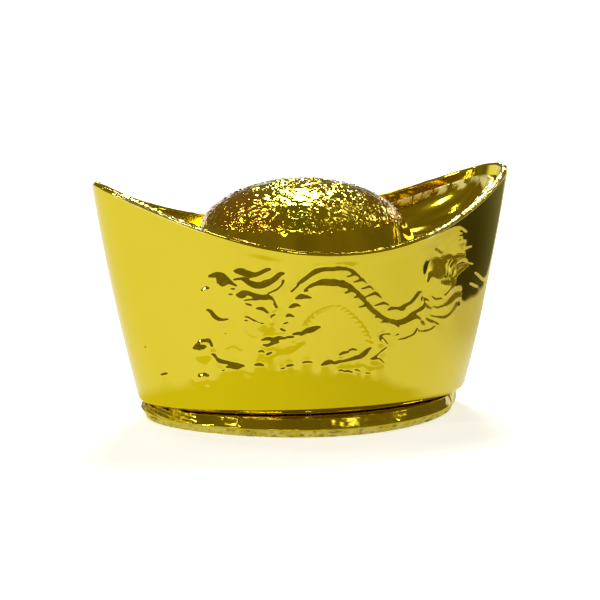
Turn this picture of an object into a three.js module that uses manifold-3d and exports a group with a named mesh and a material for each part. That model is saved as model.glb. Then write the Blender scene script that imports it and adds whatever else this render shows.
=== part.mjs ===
// Boat-shaped ornamental ingot, moulded in metallised plastic and glued together from four pieces:
// an open boat-shaped hull, a domed tray that drops into it, a rounded foot ring and a bottom plate.
// Millimetres, +Z up, length along X. The origin is the centre of the flat underside.
import * as THREE from "three";
import { mergeVertices } from "three/addons/utils/BufferGeometryUtils.js";
import Module from "manifold-3d";

const wasm = await Module();
wasm.setup();

// Hull, outside
const LENGTH = 65; // tip to tip
const WIDTH = 42.2; // of the wall, carried up to tip height
const TIP_HEIGHT = 36; // top of the two raised tips
const WAIST_HEIGHT = 27; // rim height at mid length
const BASE_LENGTH = 50.4; // at the hull's underside, before its edge is rounded
const BASE_WIDTH = 34.6;
const BASE_EDGE_RADIUS = 0.8;
const WALL_BOW = 0.25; // how far the walls bow outwards between base and tips
const BASE_PINCH = 0.15; // narrowing of the plan towards its ends, at the base
const TIP_PINCH = 0.35; // and at tip height
const SHEER_POWER = 2.2; // how late the rim starts to climb towards the tips
const SHEER_LEVELLING = 0.2; // how far the climb flattens again at the tips

// Walls and clearances
const WALL = 1.2; // moulded wall of hull and tray
const FLOOR = 1.4; // floor of the hull
const GAP = 0.3; // clearance between glued pieces

// Domed tray
const TRAY_DROP = 1.9; // the tray's edge lies this far below the top of the rim
const TROUGH_DEPTH = 0.9; // from the tray's edge at the waist down to the foot of the dome
const END_TROUGH = 9.8; // length of the trough between the dome's foot and the wall at each end
const SIDE_TROUGH = 0.75; // width of the trough beside the dome at the waist
const SKIRT_HEIGHT = 4.7; // the straight sloping lower part of the dome
const SKIRT_END_SPREAD = 2.7; // how far the skirt widens down to its foot, at the ends
const SKIRT_SIDE_SPREAD = 2.3; // and at the sides
const DOME_RISE = 6; // from the skirt to the top
const DOME_START = 17.4; // degrees up its curve at which the dome leaves the skirt
const DOME_FILLET = 0.5; // round corner between the trough and the skirt

// Posts of the tray and pegs of the plate enter the hull's two hollow bosses from above and below
const POST_RADIUS = 2;
const PEG_MARGIN = 1; // between a peg and the opening of the foot ring, at the nearer end
const BOSS_WALL = 1;
const BOSS_HEIGHT = 7.6; // above the floor
const POST_DEPTH = 3; // how far a post enters its boss
const PEG_END_GAP = 0.5; // between a peg's end and a post's end

// Foot ring: a rounder oval than the hull's base, so its shoulder is wide only at the sides
const FOOT_HEIGHT = 1.65;
const FOOT_OFFSET = -0.5; // the foot is glued on this far off the hull's middle
const FOOT_BELLY_HEIGHT = 0.2; // the ring is widest this far above its underside
const FOOT_END_STEP = -1.1; // how far the ring stands out past the hull's base at the ends
const FOOT_SIDE_STEP = 3.7; // and at the sides
const FOOT_END_SHOULDER = 0.8; // how far the ring draws in from its belly to its top at the ends
const FOOT_SIDE_SHOULDER = 4; // and at the sides
const FOOT_END_BEVEL = 0.5; // the part of it that the sloping face above the belly takes, at the ends
const FOOT_SIDE_BEVEL = 1.3; // and at the sides
const FOOT_LEDGE_FALL = 0.15; // the nearly level ledge above that face falls this much outwards
const FOOT_LOWER_STEP = 0.15; // rounding of its lower edge
const FOOT_SEAT = 2.4; // width of the ring's flat top, glued under the hull

// Bottom plate
const PLATE_THICKNESS = 1.05;
const PLATE_INSET = 0.25; // the plate is this much smaller than the ring all round
const PLATE_TAPER = 0.45; // and its edge draws in this much more towards the underside
const SPIGOT_HEIGHT = 1.2;
const SPIGOT_WALL = 1.2;

// Facets
const AROUND = 56;
const WALL_STEPS = 8;
const ROUND_STEPS = 4;
const TROUGH_STEPS = 6;
const SKIRT_STEPS = 3;
const DOME_STEPS = 7;
const POST_SIDES = 20;
const RIM_SEARCH_STEPS = 30;

// Heights that follow
const HULL_BOTTOM = PLATE_THICKNESS + FOOT_HEIGHT;
const FLOOR_TOP = HULL_BOTTOM + FLOOR;
const BOSS_TOP = FLOOR_TOP + BOSS_HEIGHT;
const POST_END = BOSS_TOP - POST_DEPTH;
const RIM_RADIUS = WALL / 2;
const DOME_FOOT = WAIST_HEIGHT - TRAY_DROP - TROUGH_DEPTH;
const DOME_SPRING = DOME_FOOT + SKIRT_HEIGHT;
const DOME_TOP = DOME_SPRING + DOME_RISE;
const DOME_START_TURN = (DOME_START * Math.PI) / 180;

// Insets of the foot ring's opening from the ring's belly
const OPENING_END = FOOT_END_SHOULDER + FOOT_SEAT;
const OPENING_SIDE = FOOT_SIDE_SHOULDER + FOOT_SEAT;
const OPENING_LENGTH = BASE_LENGTH + 2 * (FOOT_END_STEP - OPENING_END);

const mix = (from, to, share) => from + (to - from) * share;
const shares = (count) => Array.from({ length: count + 1 }, (_, i) => i / count);
const quarterTurns = (count) => shares(count).map((share) => (share * Math.PI) / 2);

// A point of a boat-shaped plan: an ellipse that narrows towards its two ends.
function planPoint(angle, halfLength, halfWidth, pinch, height) {
  const along = Math.cos(angle);
  const across = Math.sin(angle) * (1 - pinch * along * along);
  return new THREE.Vector3(halfLength * along, halfWidth * across, height);
}

// The hull's outer wall at a height, or a wall that lies inset inside it.
function hullPoint(angle, height, inset = 0) {
  const rise = (height - HULL_BOTTOM) / (TIP_HEIGHT - HULL_BOTTOM);
  const spread = (1 + WALL_BOW) * rise - WALL_BOW * rise * rise;
  const halfLength = mix(BASE_LENGTH, LENGTH, spread) / 2 - inset;
  const halfWidth = mix(BASE_WIDTH, WIDTH, spread) / 2 - inset;
  return planPoint(angle, halfLength, halfWidth, mix(BASE_PINCH, TIP_PINCH, rise), height);
}

// Height of the rim at a distance along the length: low at the waist, high at the tips.
function sheer(x) {
  const climb = Math.min(Math.abs(x) / (LENGTH / 2), 1) ** SHEER_POWER;
  return mix(WAIST_HEIGHT, TIP_HEIGHT, climb * (1 + SHEER_LEVELLING) - climb * climb * SHEER_LEVELLING);
}

// The wall widens as it climbs, so the rim's height at an angle is found by repetition.
function rimHeight(angle) {
  let height = WAIST_HEIGHT;
  for (let i = 0; i < RIM_SEARCH_STEPS; i++) height = sheer(hullPoint(angle, height).x);
  return height;
}

const angles = Array.from({ length: AROUND }, (_, i) => (2 * Math.PI * i) / AROUND);
const rims = angles.map(rimHeight);
const ring = (point) => angles.map((angle, i) => point(angle, rims[i]));
const pole = (height) => [new THREE.Vector3(0, 0, height)];

// A closed surface through rings of points, which run up the outside and down the inside.
// A ring is a full loop, or one point that closes the surface. A looped skin's last ring joins its first.
function skin(rings, looped = false) {
  const positions = [];
  const starts = [];
  for (const points of rings) {
    starts.push(positions.length / 3);
    for (const p of points) positions.push(p.x, p.y, p.z);
  }
  const corner = (k, j) => starts[k] + (rings[k].length === 1 ? 0 : j % AROUND);
  const index = [];
  const bands = looped ? rings.length : rings.length - 1;
  for (let k = 0; k < bands; k++) {
    const next = (k + 1) % rings.length;
    for (let j = 0; j < AROUND; j++) {
      if (rings[k].length > 1) index.push(corner(k, j), corner(k, j + 1), corner(next, j + 1));
      if (rings[next].length > 1) index.push(corner(k, j), corner(next, j + 1), corner(next, j));
    }
  }
  const geometry = new THREE.BufferGeometry();
  geometry.setAttribute("position", new THREE.Float32BufferAttribute(positions, 3));
  geometry.setIndex(index);
  return geometry;
}

function toSolid(geometry) {
  const bare = geometry.clone();
  bare.deleteAttribute("normal");
  bare.deleteAttribute("uv");
  const merged = mergeVertices(bare);
  const vertProperties = new Float32Array(merged.attributes.position.array);
  const triVerts = new Uint32Array(merged.index.array);
  return new wasm.Manifold(new wasm.Mesh({ numProp: 3, vertProperties, triVerts }));
}

function toGeometry(solid) {
  const mesh = solid.getMesh();
  const geometry = new THREE.BufferGeometry();
  geometry.setAttribute("position", new THREE.BufferAttribute(mesh.vertProperties, 3));
  geometry.setIndex(new THREE.BufferAttribute(mesh.triVerts, 1));
  return geometry;
}

// Two upright round pins, one towards each end.
function pinPair(radius, bottom, top) {
  const x = OPENING_LENGTH / 2 - Math.abs(FOOT_OFFSET) - PEG_MARGIN - POST_RADIUS;
  const [left, right] = [-x, x].map((place) => {
    const geometry = new THREE.CylinderGeometry(radius, radius, top - bottom, POST_SIDES);
    geometry.rotateX(Math.PI / 2);
    geometry.translate(place, 0, (bottom + top) / 2);
    return toSolid(geometry);
  });
  return left.add(right);
}

// Hull: a bowed wall with a rounded lower edge and a rounded rim, a flat floor, and two hollow bosses.
function hull() {
  const lowerEdge = quarterTurns(ROUND_STEPS).map((turn) => {
    const inset = BASE_EDGE_RADIUS * (1 - Math.sin(turn));
    const height = HULL_BOTTOM + BASE_EDGE_RADIUS * (1 - Math.cos(turn));
    return ring((angle) => hullPoint(angle, height, inset));
  });
  const wallStart = HULL_BOTTOM + BASE_EDGE_RADIUS;
  const outside = shares(WALL_STEPS).map((share) =>
    ring((angle, rim) => hullPoint(angle, mix(wallStart, rim - RIM_RADIUS, share))),
  );
  const rim = shares(2 * ROUND_STEPS).map((share) =>
    ring((angle, rimTop) => {
      const p = hullPoint(angle, rimTop - RIM_RADIUS, RIM_RADIUS * (1 - Math.cos(share * Math.PI)));
      p.z += RIM_RADIUS * Math.sin(share * Math.PI);
      return p;
    }),
  );
  const inside = shares(WALL_STEPS).map((share) =>
    ring((angle, rimTop) => hullPoint(angle, mix(rimTop - RIM_RADIUS, FLOOR_TOP, share), WALL)),
  );
  const shell = [pole(HULL_BOTTOM), ...lowerEdge, ...outside.slice(1), ...rim.slice(1), ...inside.slice(1)];
  const boreRadius = POST_RADIUS + GAP;
  const bosses = pinPair(boreRadius + BOSS_WALL, mix(HULL_BOTTOM, FLOOR_TOP, 0.5), BOSS_TOP);
  const bores = pinPair(boreRadius, 0, BOSS_TOP + BOSS_WALL);
  return toGeometry(toSolid(skin([...shell, pole(FLOOR_TOP)])).add(bosses).subtract(bores));
}

// The plan of the dome's foot is the hull's inner wall at that height, less the trough that runs round it.
// The skirt draws in from the foot by a share of its spread, and the dome above it is shrunk to a point.
function domePoint(angle, grow, drawnIn, shrink, height) {
  const clear = WALL + GAP + WALL;
  const halfLength = hullPoint(0, DOME_FOOT).x - clear - END_TROUGH - SKIRT_END_SPREAD * drawnIn;
  const halfWidth = hullPoint(Math.PI / 2, DOME_FOOT).y - clear - SIDE_TROUGH - SKIRT_SIDE_SPREAD * drawnIn;
  return planPoint(angle, (halfLength + grow) * shrink, (halfWidth + grow) * shrink, 0, height);
}

// The tray's upper surface at an angle, from its edge down through the trough and up over the dome.
function trayProfile(angle, rimTop) {
  const low = domePoint(angle, DOME_FILLET, 0, 1, DOME_FOOT - DOME_FILLET);
  const trough = quarterTurns(TROUGH_STEPS).map((turn) => {
    const height = mix(rimTop - TRAY_DROP, low.z, Math.sin(turn));
    const besideWall = hullPoint(angle, height, WALL + GAP + WALL);
    return besideWall.lerp(low, 1 - Math.cos(turn)).setZ(height);
  });
  const fillet = quarterTurns(ROUND_STEPS / 2).map((turn) => {
    const grow = DOME_FILLET * (1 - Math.sin(turn));
    return domePoint(angle, grow, 0, 1, DOME_FOOT - DOME_FILLET * Math.cos(turn));
  });
  const skirt = shares(SKIRT_STEPS).map((share) =>
    domePoint(angle, 0, share, 1, mix(DOME_FOOT, DOME_SPRING, share)),
  );
  const dome = shares(DOME_STEPS).map((share) => {
    const turn = mix(DOME_START_TURN, Math.PI / 2, share);
    const climb = (Math.sin(turn) - Math.sin(DOME_START_TURN)) / (1 - Math.sin(DOME_START_TURN));
    const shrink = Math.cos(turn) / Math.cos(DOME_START_TURN);
    return domePoint(angle, 0, 1, shrink, mix(DOME_SPRING, DOME_TOP, climb));
  });
  return [...trough, ...fillet.slice(1), ...skirt.slice(1), ...dome.slice(1, -1)];
}

// Domed tray: an even wall under the moulded surface, open below, with two locating posts that reach
// up to that surface wherever they stand.
function tray() {
  const profiles = ring(trayProfile);
  const count = profiles[0].length;
  const at = (j, k) => profiles[(j + AROUND) % AROUND][k];
  const normalAt = (j, k) => {
    const around = at(j + 1, k).clone().sub(at(j - 1, k));
    const inner = k + 1 < count ? at(j, k + 1) : pole(DOME_TOP)[0];
    return around.cross(inner.clone().sub(at(j, k - 1))).normalize();
  };
  const upper = [];
  const lower = [];
  for (let k = 0; k < count; k++) {
    upper.push(angles.map((_, j) => at(j, k)));
    if (k > 0) lower.unshift(angles.map((_, j) => at(j, k).clone().addScaledVector(normalAt(j, k), -WALL)));
  }
  const edge = ring((angle, rimTop) => hullPoint(angle, rimTop - TRAY_DROP, WALL + GAP));
  const shell = skin([pole(DOME_TOP - WALL), ...lower, edge, ...upper, pole(DOME_TOP)]);
  const ground = upper[0].map((p) => p.clone().setZ(0));
  const underSurface = skin([pole(0), ground, ...upper, pole(DOME_TOP)]);
  const posts = pinPair(POST_RADIUS, POST_END, DOME_TOP).intersect(toSolid(underSurface));
  return toGeometry(toSolid(shell).add(posts));
}

// The foot's plan, drawn in from the ring's belly by one inset at its ends and another at its sides.
function footPoint(angle, endInset, sideInset, height) {
  const halfLength = BASE_LENGTH / 2 + FOOT_END_STEP - endInset;
  const halfWidth = BASE_WIDTH / 2 + FOOT_SIDE_STEP - sideInset;
  const p = planPoint(angle, halfLength, halfWidth, BASE_PINCH, height);
  p.x += FOOT_OFFSET;
  return p;
}

const footLoop = (endInset, sideInset, height) =>
  angles.map((angle) => footPoint(angle, endInset, sideInset, height));

// Foot ring: a band with a sloping face and a ledge above it, open in the middle for the plate's spigot
// and pegs.
function footRing() {
  const belly = PLATE_THICKNESS + FOOT_BELLY_HEIGHT;
  const below = quarterTurns(ROUND_STEPS).map((turn) => {
    const inset = FOOT_LOWER_STEP * (1 - Math.sin(turn));
    return footLoop(inset, inset, mix(belly, PLATE_THICKNESS, Math.cos(turn)));
  });
  const bevelTop = footLoop(FOOT_END_BEVEL, FOOT_SIDE_BEVEL, HULL_BOTTOM - FOOT_LEDGE_FALL);
  const ledgeTop = footLoop(FOOT_END_SHOULDER, FOOT_SIDE_SHOULDER, HULL_BOTTOM);
  const openingBottom = footLoop(OPENING_END, OPENING_SIDE, PLATE_THICKNESS);
  const openingTop = footLoop(OPENING_END, OPENING_SIDE, HULL_BOTTOM);
  return skin([openingBottom, ...below, bevelTop, ledgeTop, openingTop], true);
}

// Bottom plate: flat below, with a spigot that centres the foot ring and two pegs for the hull's bosses.
function bottomPlate() {
  const edge = (inset, height) => footLoop(inset, inset, height);
  const spigot = (inset, height) => footLoop(OPENING_END + inset, OPENING_SIDE + inset, height);
  const spigotTop = PLATE_THICKNESS + SPIGOT_HEIGHT;
  const plate = skin([
    pole(0),
    edge(PLATE_INSET + PLATE_TAPER, 0),
    edge(PLATE_INSET, PLATE_THICKNESS),
    spigot(GAP, PLATE_THICKNESS),
    spigot(GAP, spigotTop),
    spigot(GAP + SPIGOT_WALL, spigotTop),
    spigot(GAP + SPIGOT_WALL, PLATE_THICKNESS),
    pole(PLATE_THICKNESS),
  ]);
  const pegs = pinPair(POST_RADIUS, PLATE_THICKNESS / 2, POST_END - PEG_END_GAP);
  return toGeometry(toSolid(plate).add(pegs));
}

const ingot = new THREE.Group();

function addPiece(name, geometry, roughness) {
  const material = new THREE.MeshStandardMaterial({ color: 0xe6d43c, metalness: 1, roughness });
  const mesh = new THREE.Mesh(geometry, material);
  mesh.name = name;
  ingot.add(mesh);
}

addPiece("hull", hull(), 0.05);
addPiece("domed_tray", tray(), 0.1);
addPiece("foot_ring", footRing(), 0.1);
addPiece("bottom_plate", bottomPlate(), 0.25);

export default ingot;
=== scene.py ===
import math
import random
import bpy
import numpy as np
from mathutils import Matrix, Vector, kdtree, noise


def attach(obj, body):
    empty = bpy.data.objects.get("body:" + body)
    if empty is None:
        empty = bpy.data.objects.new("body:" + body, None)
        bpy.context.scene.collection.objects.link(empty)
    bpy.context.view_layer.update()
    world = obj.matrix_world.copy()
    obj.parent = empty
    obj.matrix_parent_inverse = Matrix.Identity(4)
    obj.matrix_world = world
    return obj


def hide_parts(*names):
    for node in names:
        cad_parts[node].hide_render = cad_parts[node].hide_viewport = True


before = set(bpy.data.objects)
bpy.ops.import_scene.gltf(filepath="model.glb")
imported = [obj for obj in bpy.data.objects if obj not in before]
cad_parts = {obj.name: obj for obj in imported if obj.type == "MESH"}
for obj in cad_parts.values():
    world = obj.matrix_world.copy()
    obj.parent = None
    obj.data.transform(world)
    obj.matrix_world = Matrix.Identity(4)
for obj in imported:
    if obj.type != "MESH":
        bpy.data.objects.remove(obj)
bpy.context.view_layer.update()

# Camera. It stands front left of the ingot and a little above it, far off with a long lens.
# It comes first, because the dragon is laid on the wall through it. The picture is 600 pixels square.
PICTURE = 600
CAMERA_TURN = math.radians(-19.40)
CAMERA_CLIMB = math.radians(9.78)
CAMERA_DISTANCE = 623.31  # mm, from the point that it looks at
CAMERA_AIM = np.array([0.0, 0.0, 18.0])
FOCAL_PIXELS = 4174.13
PICTURE_MOVE = (2.79, -8.50)  # pixels that the ingot stands right of and above the middle
SENSOR = 36.0
NEAREST = 0.01  # metres

camera_back = np.array([
    math.sin(CAMERA_TURN) * math.cos(CAMERA_CLIMB),
    -math.cos(CAMERA_TURN) * math.cos(CAMERA_CLIMB),
    math.sin(CAMERA_CLIMB),
])
camera_right = np.array([math.cos(CAMERA_TURN), math.sin(CAMERA_TURN), 0.0])
camera_up = np.cross(camera_back, camera_right)


def picture_place(points):
    """Pixels at which points in millimetres stand."""
    away = points - CAMERA_AIM
    depth = CAMERA_DISTANCE - away @ camera_back
    across = PICTURE / 2 + PICTURE_MOVE[0] + FOCAL_PIXELS * (away @ camera_right) / depth
    down = PICTURE / 2 + PICTURE_MOVE[1] - FOCAL_PIXELS * (away @ camera_up) / depth
    return np.stack([across, down], axis=-1)


camera_data = bpy.data.cameras.new("camera")
camera_data.sensor_width = SENSOR
camera_data.lens = FOCAL_PIXELS / PICTURE * SENSOR
camera_data.shift_x = -PICTURE_MOVE[0] / PICTURE
camera_data.shift_y = PICTURE_MOVE[1] / PICTURE
camera_data.clip_start = NEAREST
camera = bpy.data.objects.new("camera", camera_data)
bpy.context.collection.objects.link(camera)
axes = Matrix([camera_right, camera_up, camera_back]).transposed().to_4x4()
camera.matrix_world = Matrix.Translation(Vector((CAMERA_AIM + camera_back * CAMERA_DISTANCE) / 1000)) @ axes
bpy.context.scene.camera = camera
bpy.context.scene.view_settings.view_transform = "Standard"

# Hull. The open boat-shaped shell carries everything else. It is moulded in plastic with the dragon in
# low relief on its front wall, and a bright gold film is laid on it in a vacuum chamber.
LENGTH = 65
WIDTH = 42.2
TIP_HEIGHT = 36
WAIST_HEIGHT = 27
BASE_LENGTH = 50.4
BASE_WIDTH = 34.6
BASE_EDGE_RADIUS = 0.8
WALL_BOW = 0.25
BASE_PINCH = 0.15
TIP_PINCH = 0.35
SHEER_POWER = 2.2
SHEER_LEVELLING = 0.2
SHEER_ROUNDS = 30  # the rim's height and its place depend on each other, so they are worked out in rounds
WALL = 1.2
GAP = 0.3
FLOOR_TOP = 4.1
HULL_BOTTOM = 2.7
RIM_RADIUS = WALL / 2
POST_PLACE = 17.4
POST_RADIUS = 2
PIN_SIDES = 48
BOSS_TOP = 11.7
BOSS_WALL = 1
BOSS_ROOT = 0.2  # how far a boss reaches into the floor
QUARTER = math.pi / 2


def mix(start, end, share):
    return start + (end - start) * share


def plan_point(angle, half_length, half_width, pinch, height):
    along = np.cos(angle)
    across = np.sin(angle) * (1 - pinch * along * along)
    return np.stack(np.broadcast_arrays(half_length * along, half_width * across, height), axis=-1)


def hull_point(angle, height, inset=0.0):
    """A place on the hull's wall, or inside it by the inset."""
    rise = (height - HULL_BOTTOM) / (TIP_HEIGHT - HULL_BOTTOM)
    spread = (1 + WALL_BOW) * rise - WALL_BOW * rise * rise
    half_length = mix(BASE_LENGTH, LENGTH, spread) / 2 - inset
    half_width = mix(BASE_WIDTH, WIDTH, spread) / 2 - inset
    return plan_point(angle, half_length, half_width, mix(BASE_PINCH, TIP_PINCH, rise), height)


def rim_height(angle):
    """The rim's top: low at the waist and swept up to the tips."""
    height = np.full_like(angle, float(WAIST_HEIGHT))
    for _ in range(SHEER_ROUNDS):
        climb = np.minimum(np.abs(hull_point(angle, height)[..., 0]) / (LENGTH / 2), 1) ** SHEER_POWER
        climb = climb * (1 + SHEER_LEVELLING) - climb * climb * SHEER_LEVELLING
        height = mix(WAIST_HEIGHT, TIP_HEIGHT, climb)
    return height


def turns(*stretches):
    """Angles round a piece from its back, in stretches of (end angle in degrees, number of steps)."""
    angles = [QUARTER]
    for end, steps in stretches:
        start = angles[-1]
        angles += [start + (math.radians(end) - start) * (i + 1) / steps for i in range(steps)]
    return np.array(angles)


def unevenness(place, *layers):
    """A smooth random value about 0, from layers of (amount, fineness)."""
    return sum(amount * noise.noise(place * fineness) for amount, fineness in layers)


def moulded_skin(name, rings, marks={}):
    """A closed skin: a grid sheet bent so that its rows become the rings, joined where they meet.
    Marks are named values at the rings' points, which its material reads."""
    rings = np.asarray(rings)
    rows, columns = rings.shape[:2]
    bpy.ops.object.select_all(action="DESELECT")
    bpy.ops.mesh.primitive_grid_add(x_subdivisions=columns - 1, y_subdivisions=rows - 1, size=2)
    piece = bpy.context.object
    piece.name = piece.data.name = name
    flat = np.empty(len(piece.data.vertices) * 3)
    piece.data.vertices.foreach_get("co", flat)
    flat = flat.reshape(-1, 3)
    column = np.rint((flat[:, 0] + 1) / 2 * (columns - 1)).astype(int)
    row = np.rint((flat[:, 1] + 1) / 2 * (rows - 1)).astype(int)
    piece.data.vertices.foreach_set("co", (rings[row, column] / 1000).ravel())
    piece.data.update()
    for mark, values in marks.items():
        kept = piece.data.attributes.new(mark, "FLOAT", "POINT")
        kept.data.foreach_set("value", values.astype(np.float32)[row, column])
    bpy.ops.object.mode_set(mode="EDIT")
    bpy.ops.mesh.select_all(action="SELECT")
    bpy.ops.mesh.remove_doubles(threshold=1e-7)
    bpy.ops.mesh.normals_make_consistent(inside=False)
    bpy.ops.object.mode_set(mode="OBJECT")
    bpy.ops.object.shade_smooth()
    return piece


def outward(rings):
    """Unit normals of the rings, pointing out of the skin."""
    around = np.gradient(rings, axis=1)
    along = np.gradient(rings, axis=0)
    normal = np.cross(around, along)
    size = np.linalg.norm(normal, axis=-1, keepdims=True)
    return normal / np.maximum(size, 1e-12)


def round_pin(radius, bottom, top, place, wall=0.0):
    """An upright pin, or a tube if it has a wall."""
    bpy.ops.object.select_all(action="DESELECT")
    bpy.ops.mesh.primitive_cylinder_add(
        vertices=PIN_SIDES, radius=radius / 1000, depth=(top - bottom) / 1000,
        end_fill_type="NOTHING" if wall else "NGON",
        location=(place / 1000, 0, (bottom + top) / 2000),
    )
    pin = bpy.context.object
    bpy.ops.object.transform_apply(location=True, rotation=False, scale=False)
    if wall:
        solidify = pin.modifiers.new("wall", "SOLIDIFY")
        solidify.thickness = wall / 1000
        solidify.offset = -1
        bpy.ops.object.modifier_apply(modifier="wall")
    return pin


def join_to(piece, others):
    bpy.ops.object.select_all(action="DESELECT")
    for other in others:
        other.select_set(True)
    piece.select_set(True)
    bpy.context.view_layer.objects.active = piece
    bpy.ops.object.join()


# The rim across, from the wall round to its other side: run in millimetres and climb as a share.
RIM_ARC_RISE = 0.84  # height of the arc that the near side begins with, so that it ends at 1
RIM_PROFILE = [(RIM_RADIUS * (1 - math.cos(math.radians(turn))), math.sin(math.radians(turn)) / RIM_ARC_RISE)
               for turn in (8, 16, 24, 32, 40, 48, 55.5, 57)]
RIM_PROFILE += [(0.3, 1), (0.5, 1), (0.75, 1), (0.98, 1), (1.08, 0.97), (1.14, 0.85), (1.18, 0.5), (WALL, 0)]
RIM_LEAN = 0.45  # how far the far rim's top falls outwards, as a share of the rim's rounding
far_rim_profile = [(WALL - run, climb * (1 - RIM_LEAN * run / WALL))
                   for run, climb in [(0, 0)] + RIM_PROFILE[:-1]]
far_rim_profile.reverse()
FAR_SIDE_STEEPNESS = 3  # how fast the rim changes from its near profile to its far one
TIP_STEEPNESS, TIP_START = 7, 3.3  # the right tip, where the rim is plainly round
NUB_RADIUS = 0.66  # mm, of the round nub at the left tip
NUB_PLACE = Vector((-31.45, 1.2, 35.32))
RIM_PATTERN = (30, 20)  # half length and half width of the pattern of the rim's wear
RIM_WEAR = 0.16  # share of the rim's rounding that its dents take
RIM_DENTS = ((0.5, 0.55), (0.35, 1.7))  # layers of (amount, fineness), as for the grain
DENT_ROW = 0.04  # how far the pattern moves on from one row to the next
RIM_DENTS_MIDDLE = 0.5
DEEPEST_DENT = 1.2
WEAR_AND_SHEEN_STRETCHES = ((113, 206), (424, 507))  # where the near rim is worn, and painted pale as a highlight, in pixels across the picture
WEAR_AND_SHEEN_FADE = 4
WEAR_AND_SHEEN_ROWS = 11  # rows of the rim that show the wear and its painted highlight
RIM_GRAIN = ((0.7, 0.9), (0.6, 2.8))
GRAIN_ROW = 0.12
RIM_GRAIN_MIDDLE = 0.75
RIM_NICKS = (130, 143, 157, 190, 207, 436, 452, 470, 488)  # where the wear and its painted highlight are cut through
NICK_WIDTH = 1.4
WORN_DEPTH = 0.16  # shares of the rim's rounding that wear, crumbs and their edges take
CRUMB_DEPTH = 0.3
CRUMBS_ALONG, CRUMBS_ACROSS = 160, 0.7  # how fine the crumbs are
BREAK_DEPTH = 0.5


def rim_spot(angle, step):
    """Where a place on the rim stands in the pattern of its wear."""
    return Vector((math.cos(angle) * RIM_PATTERN[0], math.sin(angle) * RIM_PATTERN[1], step))


def rim_wear(angle, row):
    """How deep the rim is dented, from 0 to DEEPEST_DENT."""
    dents = RIM_DENTS_MIDDLE + unevenness(rim_spot(angle, row * DENT_ROW), *RIM_DENTS)
    return min(max(dents, 0), DEEPEST_DENT)


def rim_crumble_and_sheen(angle, row, across, turned_to_us):
    """How worn the near rim is, from 0 to 1: crumbly stretches near the tips, cut by nicks. Only the side
    towards the camera has it, and there its paler tone is also a painted highlight.
    """
    if not turned_to_us:
        return 0.0
    inside = max(min((across - start) / WEAR_AND_SHEEN_FADE, (end - across) / WEAR_AND_SHEEN_FADE, 1)
                 for start, end in WEAR_AND_SHEEN_STRETCHES)
    grain = RIM_GRAIN_MIDDLE + unevenness(rim_spot(angle, row * GRAIN_ROW), *RIM_GRAIN)
    nick = min(min(abs(across - nick) for nick in RIM_NICKS) / NICK_WIDTH, 1)
    return max(inside, 0) * min(max(grain, 0), 1) * nick


hull_angles = turns(
    (140, 12), (171, 11), (179, 27), (200, 10), (228, 48), (335, 318), (360, 24), (400, 26), (450, 18))
hull_rims = rim_height(hull_angles)
WALL_START = HULL_BOTTOM + BASE_EDGE_RADIUS
EDGE_ROWS = 6
WALL_ROWS = 165
INNER_ROWS = 8
hull_rings = [np.tile([0.0, 0.0, HULL_BOTTOM], (len(hull_angles), 1))]
for i in range(EDGE_ROWS):
    turn = QUARTER * i / EDGE_ROWS
    height = HULL_BOTTOM + BASE_EDGE_RADIUS * (1 - math.cos(turn))
    hull_rings.append(hull_point(hull_angles, height, BASE_EDGE_RADIUS * (1 - math.sin(turn))))
first_wall_ring = len(hull_rings)
for i in range(WALL_ROWS + 1):
    hull_rings.append(hull_point(hull_angles, mix(WALL_START, hull_rims - RIM_RADIUS, i / WALL_ROWS)))
last_wall_ring = len(hull_rings)
rim_wear_and_sheen = []
far_side = np.clip(np.sin(hull_angles) * FAR_SIDE_STEEPNESS + 0.5, 0, 1)
right_tip = np.clip(np.cos(hull_angles) * TIP_STEEPNESS - TIP_START, 0, 1)
for i, ((run, climb), (far_run, far_climb)) in enumerate(zip(RIM_PROFILE, far_rim_profile), start=1):
    round_turn = math.pi * i / len(RIM_PROFILE)
    run = mix(run, RIM_RADIUS * (1 - math.cos(round_turn)), right_tip)
    climb = mix(climb, math.sin(round_turn), right_tip)
    rim_ring = hull_point(hull_angles, hull_rims - RIM_RADIUS, mix(run, far_run, far_side))
    # The near rim's marks carry crumbled wear in the geometry and a painted highlight in the colour, on the
    # side towards the camera only.
    wear_and_sheen = np.array([rim_crumble_and_sheen(angle, i, place, point[1] < 0) for angle, place, point in zip(
        hull_angles, picture_place(rim_ring)[:, 0], rim_ring)])
    dents = RIM_WEAR * np.array([rim_wear(angle, i) for angle in hull_angles])
    crumbs = np.array([noise.noise((angle * CRUMBS_ALONG, i * CRUMBS_ACROSS, 0)) for angle in hull_angles])
    lost = wear_and_sheen * (WORN_DEPTH + CRUMB_DEPTH * crumbs) + BREAK_DEPTH * wear_and_sheen * (1 - wear_and_sheen)
    rim_ring[:, 2] += RIM_RADIUS * mix(climb, far_climb, far_side) * np.clip(1 - dents - lost, 0, 1)
    rim_wear_and_sheen.append(wear_and_sheen)
    for point in rim_ring:
        away = Vector(point) - NUB_PLACE
        if away.length < NUB_RADIUS:
            point[:] = NUB_PLACE + away.normalized() * NUB_RADIUS
    hull_rings.append(rim_ring)
for i in range(1, INNER_ROWS + 1):
    hull_rings.append(hull_point(hull_angles, mix(hull_rims - RIM_RADIUS, FLOOR_TOP, i / INNER_ROWS), WALL))
hull_rings.append(np.tile([0.0, 0.0, FLOOR_TOP], (len(hull_angles), 1)))
hull_rings = np.array(hull_rings)
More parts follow.
